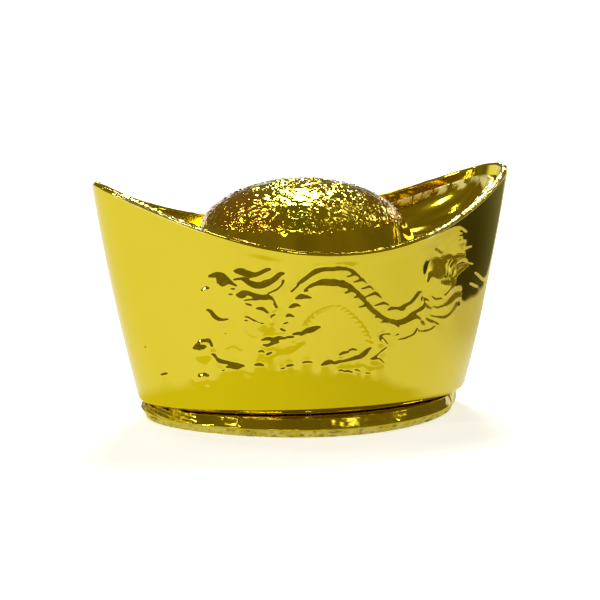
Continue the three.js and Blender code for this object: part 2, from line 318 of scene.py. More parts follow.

# Dragon relief, moulded in the hull's front wall. It is drawn in the picture's pixels and laid on the
# wall through the camera. A stroke, a row of (across, down, thickness), is a slope that faces up, the upper
# edge of a raised form, and mirrors the dark ceiling. An undercut is a form's lower edge and faces down.
PIXEL_SIZE = 0.15  # mm on the front wall
DRAGON_STROKES = {
    "brow": [(209, 276.5, 1.5), (213.8, 275.2, 4.1), (218.4, 274.7, 4.1), (223, 276.5, 4.5),
             (226, 279.3, 4.1), (229, 281.5, 2.7), (232, 283.4, 2.5), (236, 285.6, 1.5)],
    "eye lobe": [(218.5, 278.5, 2.5), (220.5, 282, 5), (223, 284, 4.6), (226.5, 283, 2.5)],
    "snout tip": [(201.5, 290.6, 1), (205.6, 288, 3.4), (208.6, 288.3, 1.6)],
    "crest": [(234.7, 271.5, 2), (238, 271.8, 6), (242, 272.5, 8), (246.4, 274, 8.2), (250, 276, 6.5)],
    "upper horn": [(248, 275, 5.5), (252, 275.8, 5), (256, 275.5, 4), (261, 273.4, 4), (266, 271, 4),
                   (269.6, 270.2, 2.6)],
    "lower horn": [(234, 280, 1.2), (239.3, 278.8, 1.6), (243, 279.3, 2.5), (248.4, 282.5, 5.5),
                   (253.8, 285.2, 6.8), (259.3, 285.6, 6.8), (266.5, 284.3, 6.8), (273.8, 280.2, 5.5),
                   (279.3, 275.6, 5), (283, 274, 3)],
    "horn edge": [(283, 280, 1.2), (281.5, 285.2, 1.4), (278, 288.8, 1.4), (273, 291.5, 1.5),
                  (268.4, 293.4, 1.5)],
    "mane": [(237.5, 294.3, 1.5), (242, 292.5, 4.2), (247, 292.5, 4.4), (251, 293.8, 4.2),
             (255.6, 295.8, 5.2), (261, 297, 5), (266.5, 297, 4.5), (271, 297.4, 3.4), (273.6, 300, 2.4),
             (274.8, 304, 2.2), (276, 307, 2.4)],
    "mane root": [(238.4, 295.4, 2), (242, 296.5, 2.6), (245.6, 296, 2)],
    "mane, lower": [(244.3, 299.7, 1.3), (251, 298.8, 1.3), (257.5, 298.8, 1.2)],
    "temple": [(246, 302.5, 1.8), (249, 303.5, 2.6), (252, 304.3, 1.8)],
    "cheek": [(257, 307.6, 1.2), (261, 307.5, 3), (264.7, 309.3, 3.2), (269, 313, 1.2)],
    "cheek curl": [(272, 321, 1.4), (271.6, 315.6, 1.6), (274.5, 314, 1.4)],
    "jaw": [(244.7, 316, 1.2), (248.4, 316.5, 1.8), (253.8, 319.3, 1.3), (261, 322.4, 1.1),
            (264.7, 322.5, 1)],
    "eye": [(245, 320, 1.3), (247, 319, 1.3), (248.5, 320.5, 1.2)],
    "mouth": [(207.5, 309.7, 2.4), (211, 311.5, 3.2), (213.8, 315.6, 4), (218.4, 318.8, 3.4),
              (223, 319.5, 2), (228.4, 318.8, 1)],
    "nostril": [(201.5, 304.3, 1.2), (203.8, 302, 1.2)],
    "beard a": [(231.5, 288.5, 1.2), (234.7, 288.5, 1.2)],
    "beard b": [(229.3, 293.8, 1.3), (232.5, 293.8, 1.3)],
    "knuckles": [(198.5, 341.6, 1.2), (201.5, 340, 2.4), (204.5, 341, 1.8), (208, 339.6, 2.8),
                 (210.8, 343, 3.2), (212.5, 347, 1.6)],
    "foreleg line": [(211.5, 353.8, 1.8), (214.3, 354.5, 3), (217, 358.5, 2.6), (219.3, 360.5, 4.2),
                     (224.7, 362, 3.8), (231, 363.4, 3.4), (237.5, 364.9, 4), (244, 365.6, 1.8)],
    "foreleg edge": [(225.6, 366.5, 1.2), (231, 366.7, 1.6), (237.5, 368, 2.2), (241, 366.5, 1.2)],
    "foreleg fold": [(222, 370.2, 1.1), (225.6, 369.3, 1.1)],
    "heel": [(255.3, 364.4, 2), (259.3, 363.8, 3.6), (264, 364.7, 1.6)],
    "arm": [(262, 339.7, 1.2), (267.5, 338.4, 3.2), (273.8, 338.8, 2.8), (279.3, 337, 3.6),
            (284.7, 337.5, 1.4)],
    "arm, lower": [(263, 344.3, 2.2), (268.4, 344.7, 3.6), (273, 342, 3.6), (277.8, 341, 2.4)],
    "arm fold a": [(286.5, 336.5, 1.3), (293, 336, 1.4)],
    "arm fold b": [(293, 333.4, 1.3), (299, 332.5, 2)],
    "elbow a": [(258.8, 351.5, 1.4), (262, 349.8, 2.4), (264.5, 351.5, 1.4)],
    "elbow b": [(266.5, 354, 1.6), (269.3, 352.5, 3.4), (272.3, 351, 1.4)],
    "hand": [(300.5, 334, 2.2), (305.8, 331, 4.4), (311.3, 329.7, 6), (315.8, 328, 4.2), (319.8, 326.8, 1.8)],
    "ground a": [(302.2, 362.5, 1), (306.7, 361.5, 1.8), (312.2, 362, 1)],
    "ground b": [(286.3, 365.7, 1.2), (289.3, 365, 2.8), (293, 364.6, 1.6)],
    "ground c": [(280.6, 368.4, 1), (284.7, 367.5, 1.2)],
    "back fin": [(291.7, 292, 1.3), (293, 290.6, 1.3), (297.6, 286.5, 1.4), (298.8, 283.8, 2.2),
                 (303, 281, 4), (306.7, 278.4, 4), (311.3, 274.7, 4), (316.7, 271.5, 5), (322, 269.7, 4.5),
                 (327.6, 268.8, 5.2), (333, 268.8, 5.2), (338.5, 268.4, 4.8), (344, 268.6, 4.6),
                 (349.5, 269.9, 3.8), (353, 272, 5), (356.7, 274.3, 4.4), (360.2, 277, 3),
                 (360.8, 279.8, 1.6)],
    "fin a": [(354, 282.5, 1), (359.5, 281, 2.2), (364, 280.2, 3.4), (367.5, 284, 1)],
    "fin link": [(347.6, 277, 1.3), (352, 275.8, 1.6), (355, 274, 1.6)],
    "fin b": [(362, 289.3, 1.2), (366.7, 288, 1.8), (371.3, 287.2, 2.4), (375.3, 290.4, 1.2)],
    "fin c": [(366.7, 297, 1), (371.3, 295, 1.8), (375.8, 293.8, 3.6), (379.5, 295.4, 4), (381.6, 298, 1.6)],
    "fin d": [(375, 306, 1), (380.4, 304.3, 2.2), (385, 303.4, 2.8), (390, 305.2, 1)],
    "fin f": [(296, 298.6, 2), (300.4, 296.5, 5), (305, 296, 3.8), (311, 297.2, 1)],
    "fin g": [(289.5, 307.5, 1.6), (293, 305.6, 4.2), (296.7, 304.3, 3), (300, 305.6, 1)],
    "fin h": [(286.5, 316.6, 1.3), (289, 314.5, 3), (294, 316.2, 1)],
    "fin i": [(283.6, 323.4, 1.4), (287.8, 321.8, 1.6)],
    "fin j": [(280.6, 328.4, 1.6), (282.5, 329.2, 2.8), (285.2, 330.2, 1.2)],
    "spine, left": [(304.3, 291.6, 1.6), (306.7, 289.5, 4.2), (311.3, 286.7, 6.2), (316.7, 284.7, 6.8),
                    (322, 282.3, 7.4), (327.6, 282, 7.6), (332, 282.5, 7.2), (336.7, 282.5, 5.4),
                    (342, 283.8, 7), (346.7, 284.7, 7.4)],
    "spine, right": [(346.7, 284.7, 7.4), (351.3, 287.5, 6.6), (355.8, 291, 6.6), (360.4, 295.6, 6.6),
                     (365, 301, 6.6), (368.5, 306.5, 6.4), (373, 310.2, 6), (378.5, 314.3, 5.4),
                     (384, 318.4, 6.4), (389.5, 320.8, 7), (394.4, 321.8, 6.8), (399.8, 322, 5.4),
                     (405.3, 320, 5.4), (410.7, 317.3, 5.4), (415.3, 316, 4.4), (418.2, 318, 1.6)],
    "tooth a": [(349.5, 290, 2.2), (344.5, 292.3, 1)],
    "tooth b": [(358, 295.3, 2.2), (353.5, 296.7, 1)],
    "tooth c": [(366, 304, 2.2), (357.5, 306.4, 1)],
    "tooth d": [(379, 315.6, 3), (373.4, 316.6, 1.2)],
    "tooth e": [(385, 321, 2.4), (379.2, 321.8, 1)],
    "tooth f": [(396, 324.5, 2.6), (397.6, 327, 1.4)],
    "belly fin": [(410, 315.4, 2.8), (414.4, 312.7, 3.2), (419, 310, 2.8), (422.5, 307.3, 2.8),
                  (424.4, 303.6, 2.4), (424.4, 300, 1.8)],
    "tail, upper": [(388.3, 310.4, 1.4), (392.5, 308.6, 3.4), (398, 308.6, 2.6), (402.5, 309, 5),
                    (406.2, 305.5, 2.8), (410.7, 303.6, 2.4), (414.4, 300, 2.4), (418, 295.5, 2.6),
                    (420.7, 292.3, 2.4), (423, 292, 1.2)],
    "tail knot a": [(424.8, 297.8, 2.2), (427.8, 300, 2)],
    "tail knot b": [(427, 306.2, 1.8), (429.3, 307.8, 1.1)],
    "tail knot c": [(432.3, 296.6, 1.4), (434.6, 298.8, 1.3)],
    "tail knot d": [(437, 299, 1.3), (441, 297.6, 1.2)],
    "tail loop": [(433.5, 306.6, 1.1), (437, 307.3, 1.3), (440.7, 305, 1.2)],
    "blade": [(443.3, 305.2, 2), (447, 301.8, 2.8), (450.7, 298.2, 3.2), (455.3, 294.5, 3.6),
              (459.2, 293.6, 2.8)],
    "feather a": [(429.8, 315.5, 1), (436.2, 316.4, 1.2), (442.5, 316.4, 1.6), (448, 312.7, 1.2),
                  (452.5, 306.4, 1), (455.3, 301.8, 1)],
    "feather b": [(426, 318.6, 1.8), (428, 320, 2.8), (431.6, 321, 2.4), (435.6, 322.9, 1)],
    "feather c": [(421.6, 320, 1.1), (420.7, 324.5, 1.1)],
    "feather d": [(418, 330.5, 1), (423.5, 330, 1.1), (429, 328.2, 1.2), (432.5, 324.5, 1)],
    "feather e": [(415.7, 327.3, 1.1), (412.5, 332.7, 1.2), (409, 335, 1.1), (402.5, 337.7, 1.6),
                  (396, 338.6, 1.1)],
    "feather f": [(394.4, 334.5, 1.2), (398, 333.2, 1.2)],
    "thigh": [(381, 342, 1), (379.5, 339.7, 1.6), (380.4, 335.6, 1.8), (384, 333.8, 1.3), (389.5, 333.4, 1)],
    "knee": [(381.3, 336.5, 1.3), (384, 340, 1.5), (386.2, 343.5, 1.2)],
    "thigh, lower": [(385.4, 345.6, 1), (380.4, 350.2, 1.4), (375, 355.6, 1.3), (369.5, 358.4, 1)],
    "hind leg": [(321.5, 364.8, 1.8), (326.7, 362.5, 4.6), (331.3, 361.5, 3.6), (334, 363.2, 1.8),
                 (338.5, 361.5, 3), (344, 360.6, 2.4), (349.5, 359.3, 2.8), (355, 357.5, 4),
                 (359.5, 356.5, 4), (364, 353.4, 4.4), (367.6, 349.7, 2.4), (371.2, 347, 1.2)],
    "hind leg, upper": [(339.5, 355.2, 1.2), (343, 353, 2.6), (348.8, 352, 1.4)],
    "hock": [(349.5, 350.2, 1), (353.5, 349.3, 2.2), (357.3, 350.2, 1)],
    "rear heel": [(371.3, 358.8, 1), (375.8, 357.5, 2.2), (379.5, 358.8, 2.6), (382.3, 362.3, 1)],
    "claw a": [(338, 370.2, 1), (341.5, 369.7, 1.6), (343.7, 371, 1)],
    "claw b": [(345, 371.2, 1), (347.6, 370.4, 2.2), (352, 372, 1.2)],
    "claw c": [(354.3, 369.5, 1), (356.7, 369.3, 1.8), (359.7, 371.2, 1)],
    "claw d": [(364.5, 372.5, 1), (369.8, 372.6, 1.1)],
    "tuft edge": [(427.6, 282.6, 1.2), (429.8, 276.4, 3.6), (433.5, 270, 8), (437, 264.5, 10),
                  (441.4, 261, 6.4)],
    "tuft": [(436.2, 276.4, 4.5), (440.7, 273.6, 7.2), (444.4, 270, 8), (447, 264.5, 8), (449.4, 259.6, 5.4),
             (454, 256.2, 3.4)],
    "tuft foot": [(443.3, 282.9, 3.4), (448, 281.8, 5.4), (450.7, 279.2, 6), (453.6, 280, 2.8),
                  (450.7, 285.5, 2.2), (447, 291, 1.3), (443.5, 295.5, 1.1)],
    "tuft feather a": [(449, 276.4, 5), (450.9, 271.8, 5), (453.5, 266.4, 4.5), (456.6, 260.8, 3.2)],
    "tuft feather b": [(455, 277, 1.4), (458, 271.8, 4.5), (461.6, 268.2, 5.4), (466.6, 265.2, 3.4)],
    "tuft top": [(440.6, 250.4, 1.4), (442.5, 252.2, 2), (445.5, 253.6, 1.2)],
    "tuft hair": [(455, 258.5, 1.4), (460, 256.6, 2), (466, 256, 1.6)],
    "pearl, upper": [(194.6, 348.5, 1), (196.2, 344.8, 1.3), (199, 342.6, 1.2)],
    "ball curl, dark": [(201, 375.6, 1), (204.6, 373.6, 1.5), (208.4, 375.4, 1.1)],
    "ball spot": [(206.8, 384.4, 1.2), (208.6, 385.4, 2), (210, 386.4, 1.1)],
    "chin spot": [(225.2, 333, 1.3), (226.2, 333.8, 1.2)],
    "chip on the wall": [(161, 374.6, 1.5), (164, 373.8, 2.8), (167.4, 373.4, 1.4)],
    "speck on the wall": [(187.4, 289, 1.3), (188.6, 289.3, 1.3)],
}
# Thin pale lines through the tuft and beside it: narrow slopes that face down.
DRAGON_QUILLS = {
    "quill a": [(450.7, 276.4, 1.4), (453.5, 270, 2.2), (457, 264.5, 2.2), (461.6, 261, 2),
                (466, 259.3, 1.4)],
    "quill b": [(443.5, 256, 1.2), (449, 253.6, 1.6), (455.3, 251.8, 1.4), (464.4, 251.8, 1.2)],
    "quill f": [(456, 275, 1), (459.6, 269.4, 1.3), (464.4, 266, 1.1)],
    "quill g": [(457.8, 234.6, 1), (462.8, 233.6, 1.5)],
    "quill h": [(456.4, 239.6, 1), (462.4, 237.6, 1.5)],
    "quill i": [(451, 244.6, 1), (455, 242.6, 1.4)],
    "quill j": [(462.2, 228.3, 1), (466.9, 231.7, 1.3)],
    "quill k": [(459.5, 243.5, 1), (466, 241, 1.2)],
    "quill l": [(467, 249, 1), (472, 246.4, 1.1)],
    "scratch a": [(469.6, 263.5, 1.2), (473, 263.9, 1.1)],
    "scratch b": [(475.6, 272.6, 1), (479.4, 276, 1.2), (483, 280, 1)],
    "scratch c": [(471, 283.6, 1), (476.4, 286.4, 1)],
    "tail ridge": [(404, 313.4, 1.2), (410, 310.6, 1.2), (417, 306, 1.1)],
    "spine ridge": [(309, 289.6, 1), (318, 286.6, 1.1), (331, 287, 1.1), (343, 289.4, 1)],
}
DRAGON_UNDERCUTS = {
    "belly": [(303, 326, 1.5), (308, 318, 3), (314, 312.5, 3), (322, 308, 3.5), (331, 305.5, 3.5),
              (340, 305.5, 3.5), (348, 310, 3.5), (355, 317, 3.5), (361, 323, 3), (366, 330, 3),
              (369, 336, 2.5), (370, 342, 1.5)],
    "arm": [(284, 352.5, 3), (291, 351, 4), (297, 347, 4), (302, 342, 2.5)],
    "elbow": [(262, 355, 2.5), (270, 356, 3), (278, 353, 3), (284, 350, 2)],
    "paw": [(338, 367.4, 2), (350, 366.5, 2.5), (363, 364.4, 2)],
    "rear paw": [(364, 366, 1.5), (371, 368, 2), (381, 366, 1.5)],
    "snout": [(211, 304.5, 2), (216, 301, 2.5), (221, 298, 1.5)],
    "lip": [(222.5, 303.5, 2.5), (230, 306.5, 2.5)],
    "lower jaw": [(211, 329, 2), (222, 325.8, 1.6), (231, 323, 1.2)],
    "throat": [(243, 324, 2), (246, 331, 2.5), (253, 336.5, 2), (264, 336, 1.5)],
    "gill": [(262, 329.5, 2.5), (271, 332, 2.5)],
    "chest": [(226, 349, 2), (234, 346.5, 2.5), (241, 350.5, 2.5)],
    "pearl": [(194.5, 350, 1.3), (196, 356, 1.5), (200, 361, 1.8), (207, 364, 1.6)],
    "lower ball": [(192.5, 378, 1.3), (195, 385, 1.5), (201, 389.5, 1.8), (209, 389, 1.6), (215, 384, 1.3)],
    "ball curl": [(200.5, 378, 1.2), (204, 374.8, 1.5), (208.5, 377.5, 1.3)],
    "ground": [(244, 371, 1.5), (254, 374.5, 2), (266, 372, 2), (280, 373, 2), (296, 371, 1.5)],
    "tail": [(387, 337, 1.5), (394, 339, 1.5), (402, 339, 1.6), (409, 336.5, 1.4)],
    "cloud a": [(318, 383, 2), (330, 385.5, 2.2), (344, 384, 1.6)],
    "cloud b": [(352, 386, 1.6), (364, 385.5, 2), (377, 382, 1.4)],
}
# Low swellings under the strokes: places, half their breadth in pixels, and their height in millimetres.
DRAGON_MASSES = {
    "skull": ([(214, 286), (232, 290), (250, 300), (262, 312)], 20, 0.08),
    "neck": ([(262, 314), (278, 324), (292, 332)], 16, 0.07),
    "body": ([(302, 318), (310, 300), (330, 293), (350, 298), (366, 316), (374, 336)], 9, 0.06),
    "haunch": ([(374, 342), (384, 348), (374, 354)], 11, 0.1),
    "foreleg": ([(262, 343), (282, 344), (300, 338)], 8, 0.08),
    "pearl": ([(203, 352.4), (203.4, 353.4)], 9.5, 0.42),
    "lower ball": ([(204, 380), (205.4, 380.6)], 11, 0.34),
}
# Small steep places on the strokes, which catch the lamp in front: across, down and half their breadth.
DRAGON_GLEAMS = [
    (265.5, 281.6, 3), (268.4, 295.4, 1.6), (339, 268, 2.8), (346, 268.2, 1.8), (334.8, 280, 2),
    (343.6, 280.2, 1.4), (201.4, 341.2, 1.6), (207.8, 340.4, 1.8), (419, 307.4, 1.4),
]
STROKE_SLOPE = 0.42
THIN_STROKE_SLOPE = 0.42  # more for thin strokes, over their thickness in pixels
STROKE_RISE = 2.6  # pixels that a thick stroke climbs at most
UNDERCUT_SLOPE = 0.26
QUILL_SLOPE = 0.32
# How the slopes begin at their outlines: pixels over which they grow, and their share on the outline itself.
STROKE_EDGE = (0.8, 0.7)
UNDERCUT_EDGE = (1.2, 0.4)
QUILL_EDGE = (0.6, 0.7)
RIB_SPACING = 4.6  # pixels between the ribs along the belly
RIB_LENGTH = 7
RIB_SPAN = (0.2, 0.6)  # shares of its length that a rib reaches to either side of the belly's line
RIB_LEAN = 0.6
RIB_ENDS = (1.2, 1.6)  # its thickness at either end
RIB_SLOPE = 0.5
SKIN_ROUGHNESS = 0.02  # mm
SKIN_FINENESS = 0.27
SKIN_FADE = 6
MASS_ROUNDING = 1.5
GLEAM_SLOPE = 0.8
GLEAM_FLATNESS = 1.5
GLEAM_LEAST_SLOPE = 0.1  # a gleam only lies on a stroke
RELIEF_FADE = 30  # pixels over which a lone slope's height dies away
RELIEF_GRAIN = 0.5
RELIEF_ROUNDS = 8
CALM_WEIGHT = 0.2  # how firmly the wall between the strokes keeps its own slope
RELIEF_LEFT, RELIEF_TOP = 150, 222
RELIEF_COLUMNS, RELIEF_ROWS = 690, 380
WALL_MARGIN = 14  # rows of the wall over which the relief fades at the rim and at the base
relief_columns = RELIEF_LEFT + RELIEF_GRAIN * np.arange(RELIEF_COLUMNS)
relief_rows = RELIEF_TOP + RELIEF_GRAIN * np.arange(RELIEF_ROWS)
relief_places = np.stack(np.meshgrid(relief_columns, relief_rows), axis=-1).reshape(-1, 2)


def smooth_line(points):
    """More points on a smooth curve through these."""
    points = np.asarray(points, dtype=float)
    padded = np.concatenate([[2 * points[0] - points[1]], points, [2 * points[-1] - points[-2]]])
    line = []
    for i in range(1, len(padded) - 2):
        a, b, c, d = padded[i - 1:i + 3]
        for share in (0.0, 0.25, 0.5, 0.75):
            line.append(0.5 * (2 * b + (c - a) * share + (2 * a - 5 * b + 4 * c - d) * share ** 2
                               + (3 * b - a - 3 * c + d) * share ** 3))
    line.append(padded[-2])
    return np.array(line)


def stroke_depth(points):
    """For the places near a stroke: which they are, how deep inside it, and its thickness there."""
    line = smooth_line(points)
    reach = line[:, 2].max() / 2 + 1
    low = line[:, :2].min(axis=0) - reach
    high = line[:, :2].max(axis=0) + reach
    near = np.nonzero(((relief_places > low) & (relief_places < high)).all(axis=1))[0]
    start, step = line[:-1], np.diff(line, axis=0)
    offset = relief_places[near][:, None] - start[None, :, :2]
    share = np.clip((offset * step[:, :2]).sum(-1) / np.maximum((step[:, :2] ** 2).sum(-1), 1e-9), 0, 1)
    thickness = start[:, 2] + share * step[:, 2]
    depth = thickness / 2 - np.linalg.norm(offset - share[..., None] * step[:, :2], axis=-1)
    best = depth.argmax(axis=1)
    pick = np.arange(len(near))
    return near, depth[pick, best], thickness[pick, best]


def stroke_cover(depth, edge):
    """How fully a stroke holds at each depth, from 0 outside it to 1."""
    return np.clip(depth / edge[0] + edge[1], 0, 1)


def relief_from_slopes(slope, wanted):
    """The gentlest relief that has these slopes down the picture in the wanted places."""
    rows, columns = slope.shape
    across = 2 * math.pi * np.fft.fftfreq(columns, RELIEF_GRAIN)[None]
    down = 2 * math.pi * np.fft.fftfreq(rows, RELIEF_GRAIN)[:, None]
    square = across ** 2 + down ** 2 + 1 / RELIEF_FADE ** 2
    push = slope.copy()
    for _ in range(RELIEF_ROUNDS):
        height = np.real(np.fft.ifft2(-1j * down * np.fft.fft2(push) / square))
        push += wanted * (slope - np.gradient(height, RELIEF_GRAIN, axis=0))
    return height


slopes = np.zeros(len(relief_places))
wanted = np.zeros(len(relief_places))
ribs = []
belly = smooth_line(DRAGON_UNDERCUTS["belly"])
since_rib = 0.0
for start, end in zip(belly[:-1, :2], belly[1:, :2]):
    since_rib += np.linalg.norm(end - start)
    if since_rib >= RIB_SPACING:
        since_rib = 0.0
        forward = (end - start) / np.linalg.norm(end - start)
        lean = np.array([-forward[1], forward[0]]) - RIB_LEAN * forward
        ribs.append([(*(end - lean * RIB_LENGTH * RIB_SPAN[0]), RIB_ENDS[0]),
                     (*(end + lean * RIB_LENGTH * RIB_SPAN[1]), RIB_ENDS[1])])
undercuts = [(line, UNDERCUT_SLOPE) for line in DRAGON_UNDERCUTS.values()]
for points, slope in undercuts + [(rib, RIB_SLOPE) for rib in ribs]:
    near, depth, thickness = stroke_depth(points)
    cover = stroke_cover(depth, UNDERCUT_EDGE)
    slopes[near] = np.minimum(slopes[near], -slope * cover)
    wanted[near] = np.maximum(wanted[near], cover)
for points in DRAGON_STROKES.values():
    near, depth, thickness = stroke_depth(points)
    cover = stroke_cover(depth, STROKE_EDGE)
    slope = np.minimum(STROKE_SLOPE + THIN_STROKE_SLOPE / thickness, STROKE_RISE / thickness)
    slopes[near] = np.where(cover > 0, np.maximum(slopes[near], slope * cover), slopes[near])
    wanted[near] = np.maximum(wanted[near], cover)
for points in DRAGON_QUILLS.values():
    near, depth, thickness = stroke_depth(points)
    cover = stroke_cover(depth, QUILL_EDGE)
    slopes[near] = mix(slopes[near], -QUILL_SLOPE, cover)
    wanted[near] = np.maximum(wanted[near], cover)
for across, down, half in DRAGON_GLEAMS:
    away = np.hypot(relief_places[:, 0] - across, (relief_places[:, 1] - down) * GLEAM_FLATNESS) / half
    slopes = np.where((away < 1) & (slopes > GLEAM_LEAST_SLOPE), GLEAM_SLOPE, slopes)
wanted = np.maximum(wanted, CALM_WEIGHT)
relief_shape = (RELIEF_ROWS, RELIEF_COLUMNS)
relief = relief_from_slopes(slopes.reshape(relief_shape), wanted.reshape(relief_shape)) * PIXEL_SIZE
for places, half_breadth, raised in DRAGON_MASSES.values():
    near, depth, thickness = stroke_depth([(*place, 2 * half_breadth) for place in places])
    swelling = np.zeros(len(relief_places))
    swelling[near] = raised * (1 - (1 - np.clip(depth / half_breadth, 0, 1)) ** 2) ** MASS_ROUNDING
    grain = np.array([noise.noise((*relief_places[i] * SKIN_FINENESS, 0)) for i in near])
    swelling[near] += SKIN_ROUGHNESS * grain * np.clip(depth / SKIN_FADE, 0, 1)
    relief += swelling.reshape(relief_shape)

front = (hull_angles >= math.pi) & (hull_angles <= 2 * math.pi)
wall_rings = hull_rings[first_wall_ring:last_wall_ring]
across, down = np.moveaxis(picture_place(wall_rings[:, front]), -1, 0)
across = (across - RELIEF_LEFT) / RELIEF_GRAIN
down = (down - RELIEF_TOP) / RELIEF_GRAIN
column = np.clip(across.astype(int), 0, RELIEF_COLUMNS - 2)
row = np.clip(down.astype(int), 0, RELIEF_ROWS - 2)
part_across = np.clip(across - column, 0, 1)
part_down = np.clip(down - row, 0, 1)
raised = mix(mix(relief[row, column], relief[row, column + 1], part_across),
             mix(relief[row + 1, column], relief[row + 1, column + 1], part_across), part_down)
wall_row = np.arange(len(wall_rings))
inside_wall = np.clip(np.minimum(wall_row, wall_row[::-1]) / WALL_MARGIN, 0, 1)
inside_wall = inside_wall ** 2 * (3 - 2 * inside_wall)
wall_relief = np.zeros(wall_rings.shape[:2])
wall_relief[:, front] = raised * inside_wall[:, None]
wall_rings += outward(wall_rings) * wall_relief[..., None]

wear_and_sheen_marks = np.zeros(hull_rings.shape[:2])
wear_and_sheen_marks[last_wall_ring - 1] = rim_wear_and_sheen[0]
wear_and_sheen_marks[last_wall_ring:last_wall_ring + WEAR_AND_SHEEN_ROWS] = rim_wear_and_sheen[:WEAR_AND_SHEEN_ROWS]
hull = moulded_skin("hull_gold_shell", hull_rings, {"wear_and_sheen": wear_and_sheen_marks})
bosses = [round_pin(POST_RADIUS + GAP + BOSS_WALL, FLOOR_TOP - BOSS_ROOT, BOSS_TOP, place, BOSS_WALL)
          for place in (-POST_PLACE, POST_PLACE)]
join_to(hull, bosses)


def new_material(name):
    material = bpy.data.materials.new(name)
    material.use_nodes = True
    return material, material.node_tree, material.node_tree.nodes["Principled BSDF"]


def feed(tree, socket, value):
    """Set a node's input: to another node's output, to a colour or to a number."""
    if isinstance(value, bpy.types.NodeSocket):
        tree.links.new(value, socket)
    elif isinstance(value, tuple):
        socket.default_value = (*value, 1)
    else:
        socket.default_value = value


def reckon(tree, operation, first, second=0.0):
    """A Math node's output."""
    node = tree.nodes.new("ShaderNodeMath")
    node.operation = operation
    feed(tree, node.inputs[0], first)
    feed(tree, node.inputs[1], second)
    return node.outputs["Value"]


def blended(tree, kind, amount, first, second, how="MIX"):
    """A Mix node's output, for colours (RGBA) or numbers (FLOAT)."""
    node = tree.nodes.new("ShaderNodeMix")
    node.data_type = kind
    node.blend_type = how
    feed(tree, node.inputs["Factor"], amount)
    feed(tree, node.inputs["A"], first)
    feed(tree, node.inputs["B"], second)
    return node.outputs["Result"]


def stepped(tree, value, start, end, how="LINEAR"):
    """0 to 1 as a value goes from the start to the end."""
    node = tree.nodes.new("ShaderNodeMapRange")
    node.interpolation_type = how
    node.inputs["From Min"].default_value = start
    node.inputs["From Max"].default_value = end
    feed(tree, node.inputs["Value"], value)
    return node.outputs["Result"]


def ramp(tree, value, *stops):
    """A Color Ramp's output, from stops of (position, colour)."""
    node = tree.nodes.new("ShaderNodeValToRGB")
    elements = node.color_ramp.elements
    elements[0].position, elements[1].position = stops[0][0], stops[-1][0]
    for position, _ in stops[1:-1]:
        elements.new(position)
    for element, (_, colour) in zip(elements, stops):
        element.color = (*colour, 1)
    feed(tree, node.inputs["Fac"], value)
    return node.outputs["Color"]


def cloudy(tree, place, scale, detail):
    """A Noise Texture's value."""
    node = tree.nodes.new("ShaderNodeTexNoise")
    node.inputs["Detail"].default_value = detail
    feed(tree, node.inputs["Vector"], place)
    feed(tree, node.inputs["Scale"], scale)
    return node.outputs["Fac"]


FILM_GRAIN = 2500  # grains of the film to a metre
SPECK_SPACING = 420  # places to a metre that may hold a dark speck
SPECK_CHOICE = 0.86  # share of them that don't
SPECK_TONE = (0.25, 0.2, 0.03)


def gold_film_group():
    """Uneven gold film: its colour between two tones with dark specks, its gloss, and a fine height."""
    group = bpy.data.node_groups.new("gold film", "ShaderNodeTree")
    for name, kind in (("Tone", "Color"), ("Deep tone", "Color"), ("Patch size", "Float"),
                       ("Gloss loss", "Float"), ("Specks", "Float")):
        group.interface.new_socket(name, in_out="INPUT", socket_type="NodeSocket" + kind)
    for name, kind in (("Colour", "Color"), ("Roughness", "Float"), ("Height", "Float")):
        group.interface.new_socket(name, in_out="OUTPUT", socket_type="NodeSocket" + kind)
    given = group.nodes.new("NodeGroupInput").outputs
    result = group.nodes.new("NodeGroupOutput").inputs
    place = group.nodes.new("ShaderNodeTexCoord").outputs["Object"]
    patches = cloudy(group, place, given["Patch size"], detail=3)
    tone = blended(group, "RGBA", patches, given["Tone"], given["Deep tone"])
    dots = group.nodes.new("ShaderNodeTexVoronoi")
    dots.inputs["Scale"].default_value = SPECK_SPACING
    feed(group, dots.inputs["Vector"], place)
    small = reckon(group, "LESS_THAN", dots.outputs["Distance"], given["Specks"])
    few = reckon(group, "GREATER_THAN", dots.outputs["Color"], SPECK_CHOICE)
    speck = reckon(group, "MULTIPLY", small, few)
    feed(group, result["Colour"], blended(group, "RGBA", speck, tone, SPECK_TONE))
    feed(group, result["Roughness"], reckon(group, "MULTIPLY", patches, given["Gloss loss"]))
    feed(group, result["Height"], cloudy(group, place, FILM_GRAIN, detail=2))
    return group


gold_film = gold_film_group()


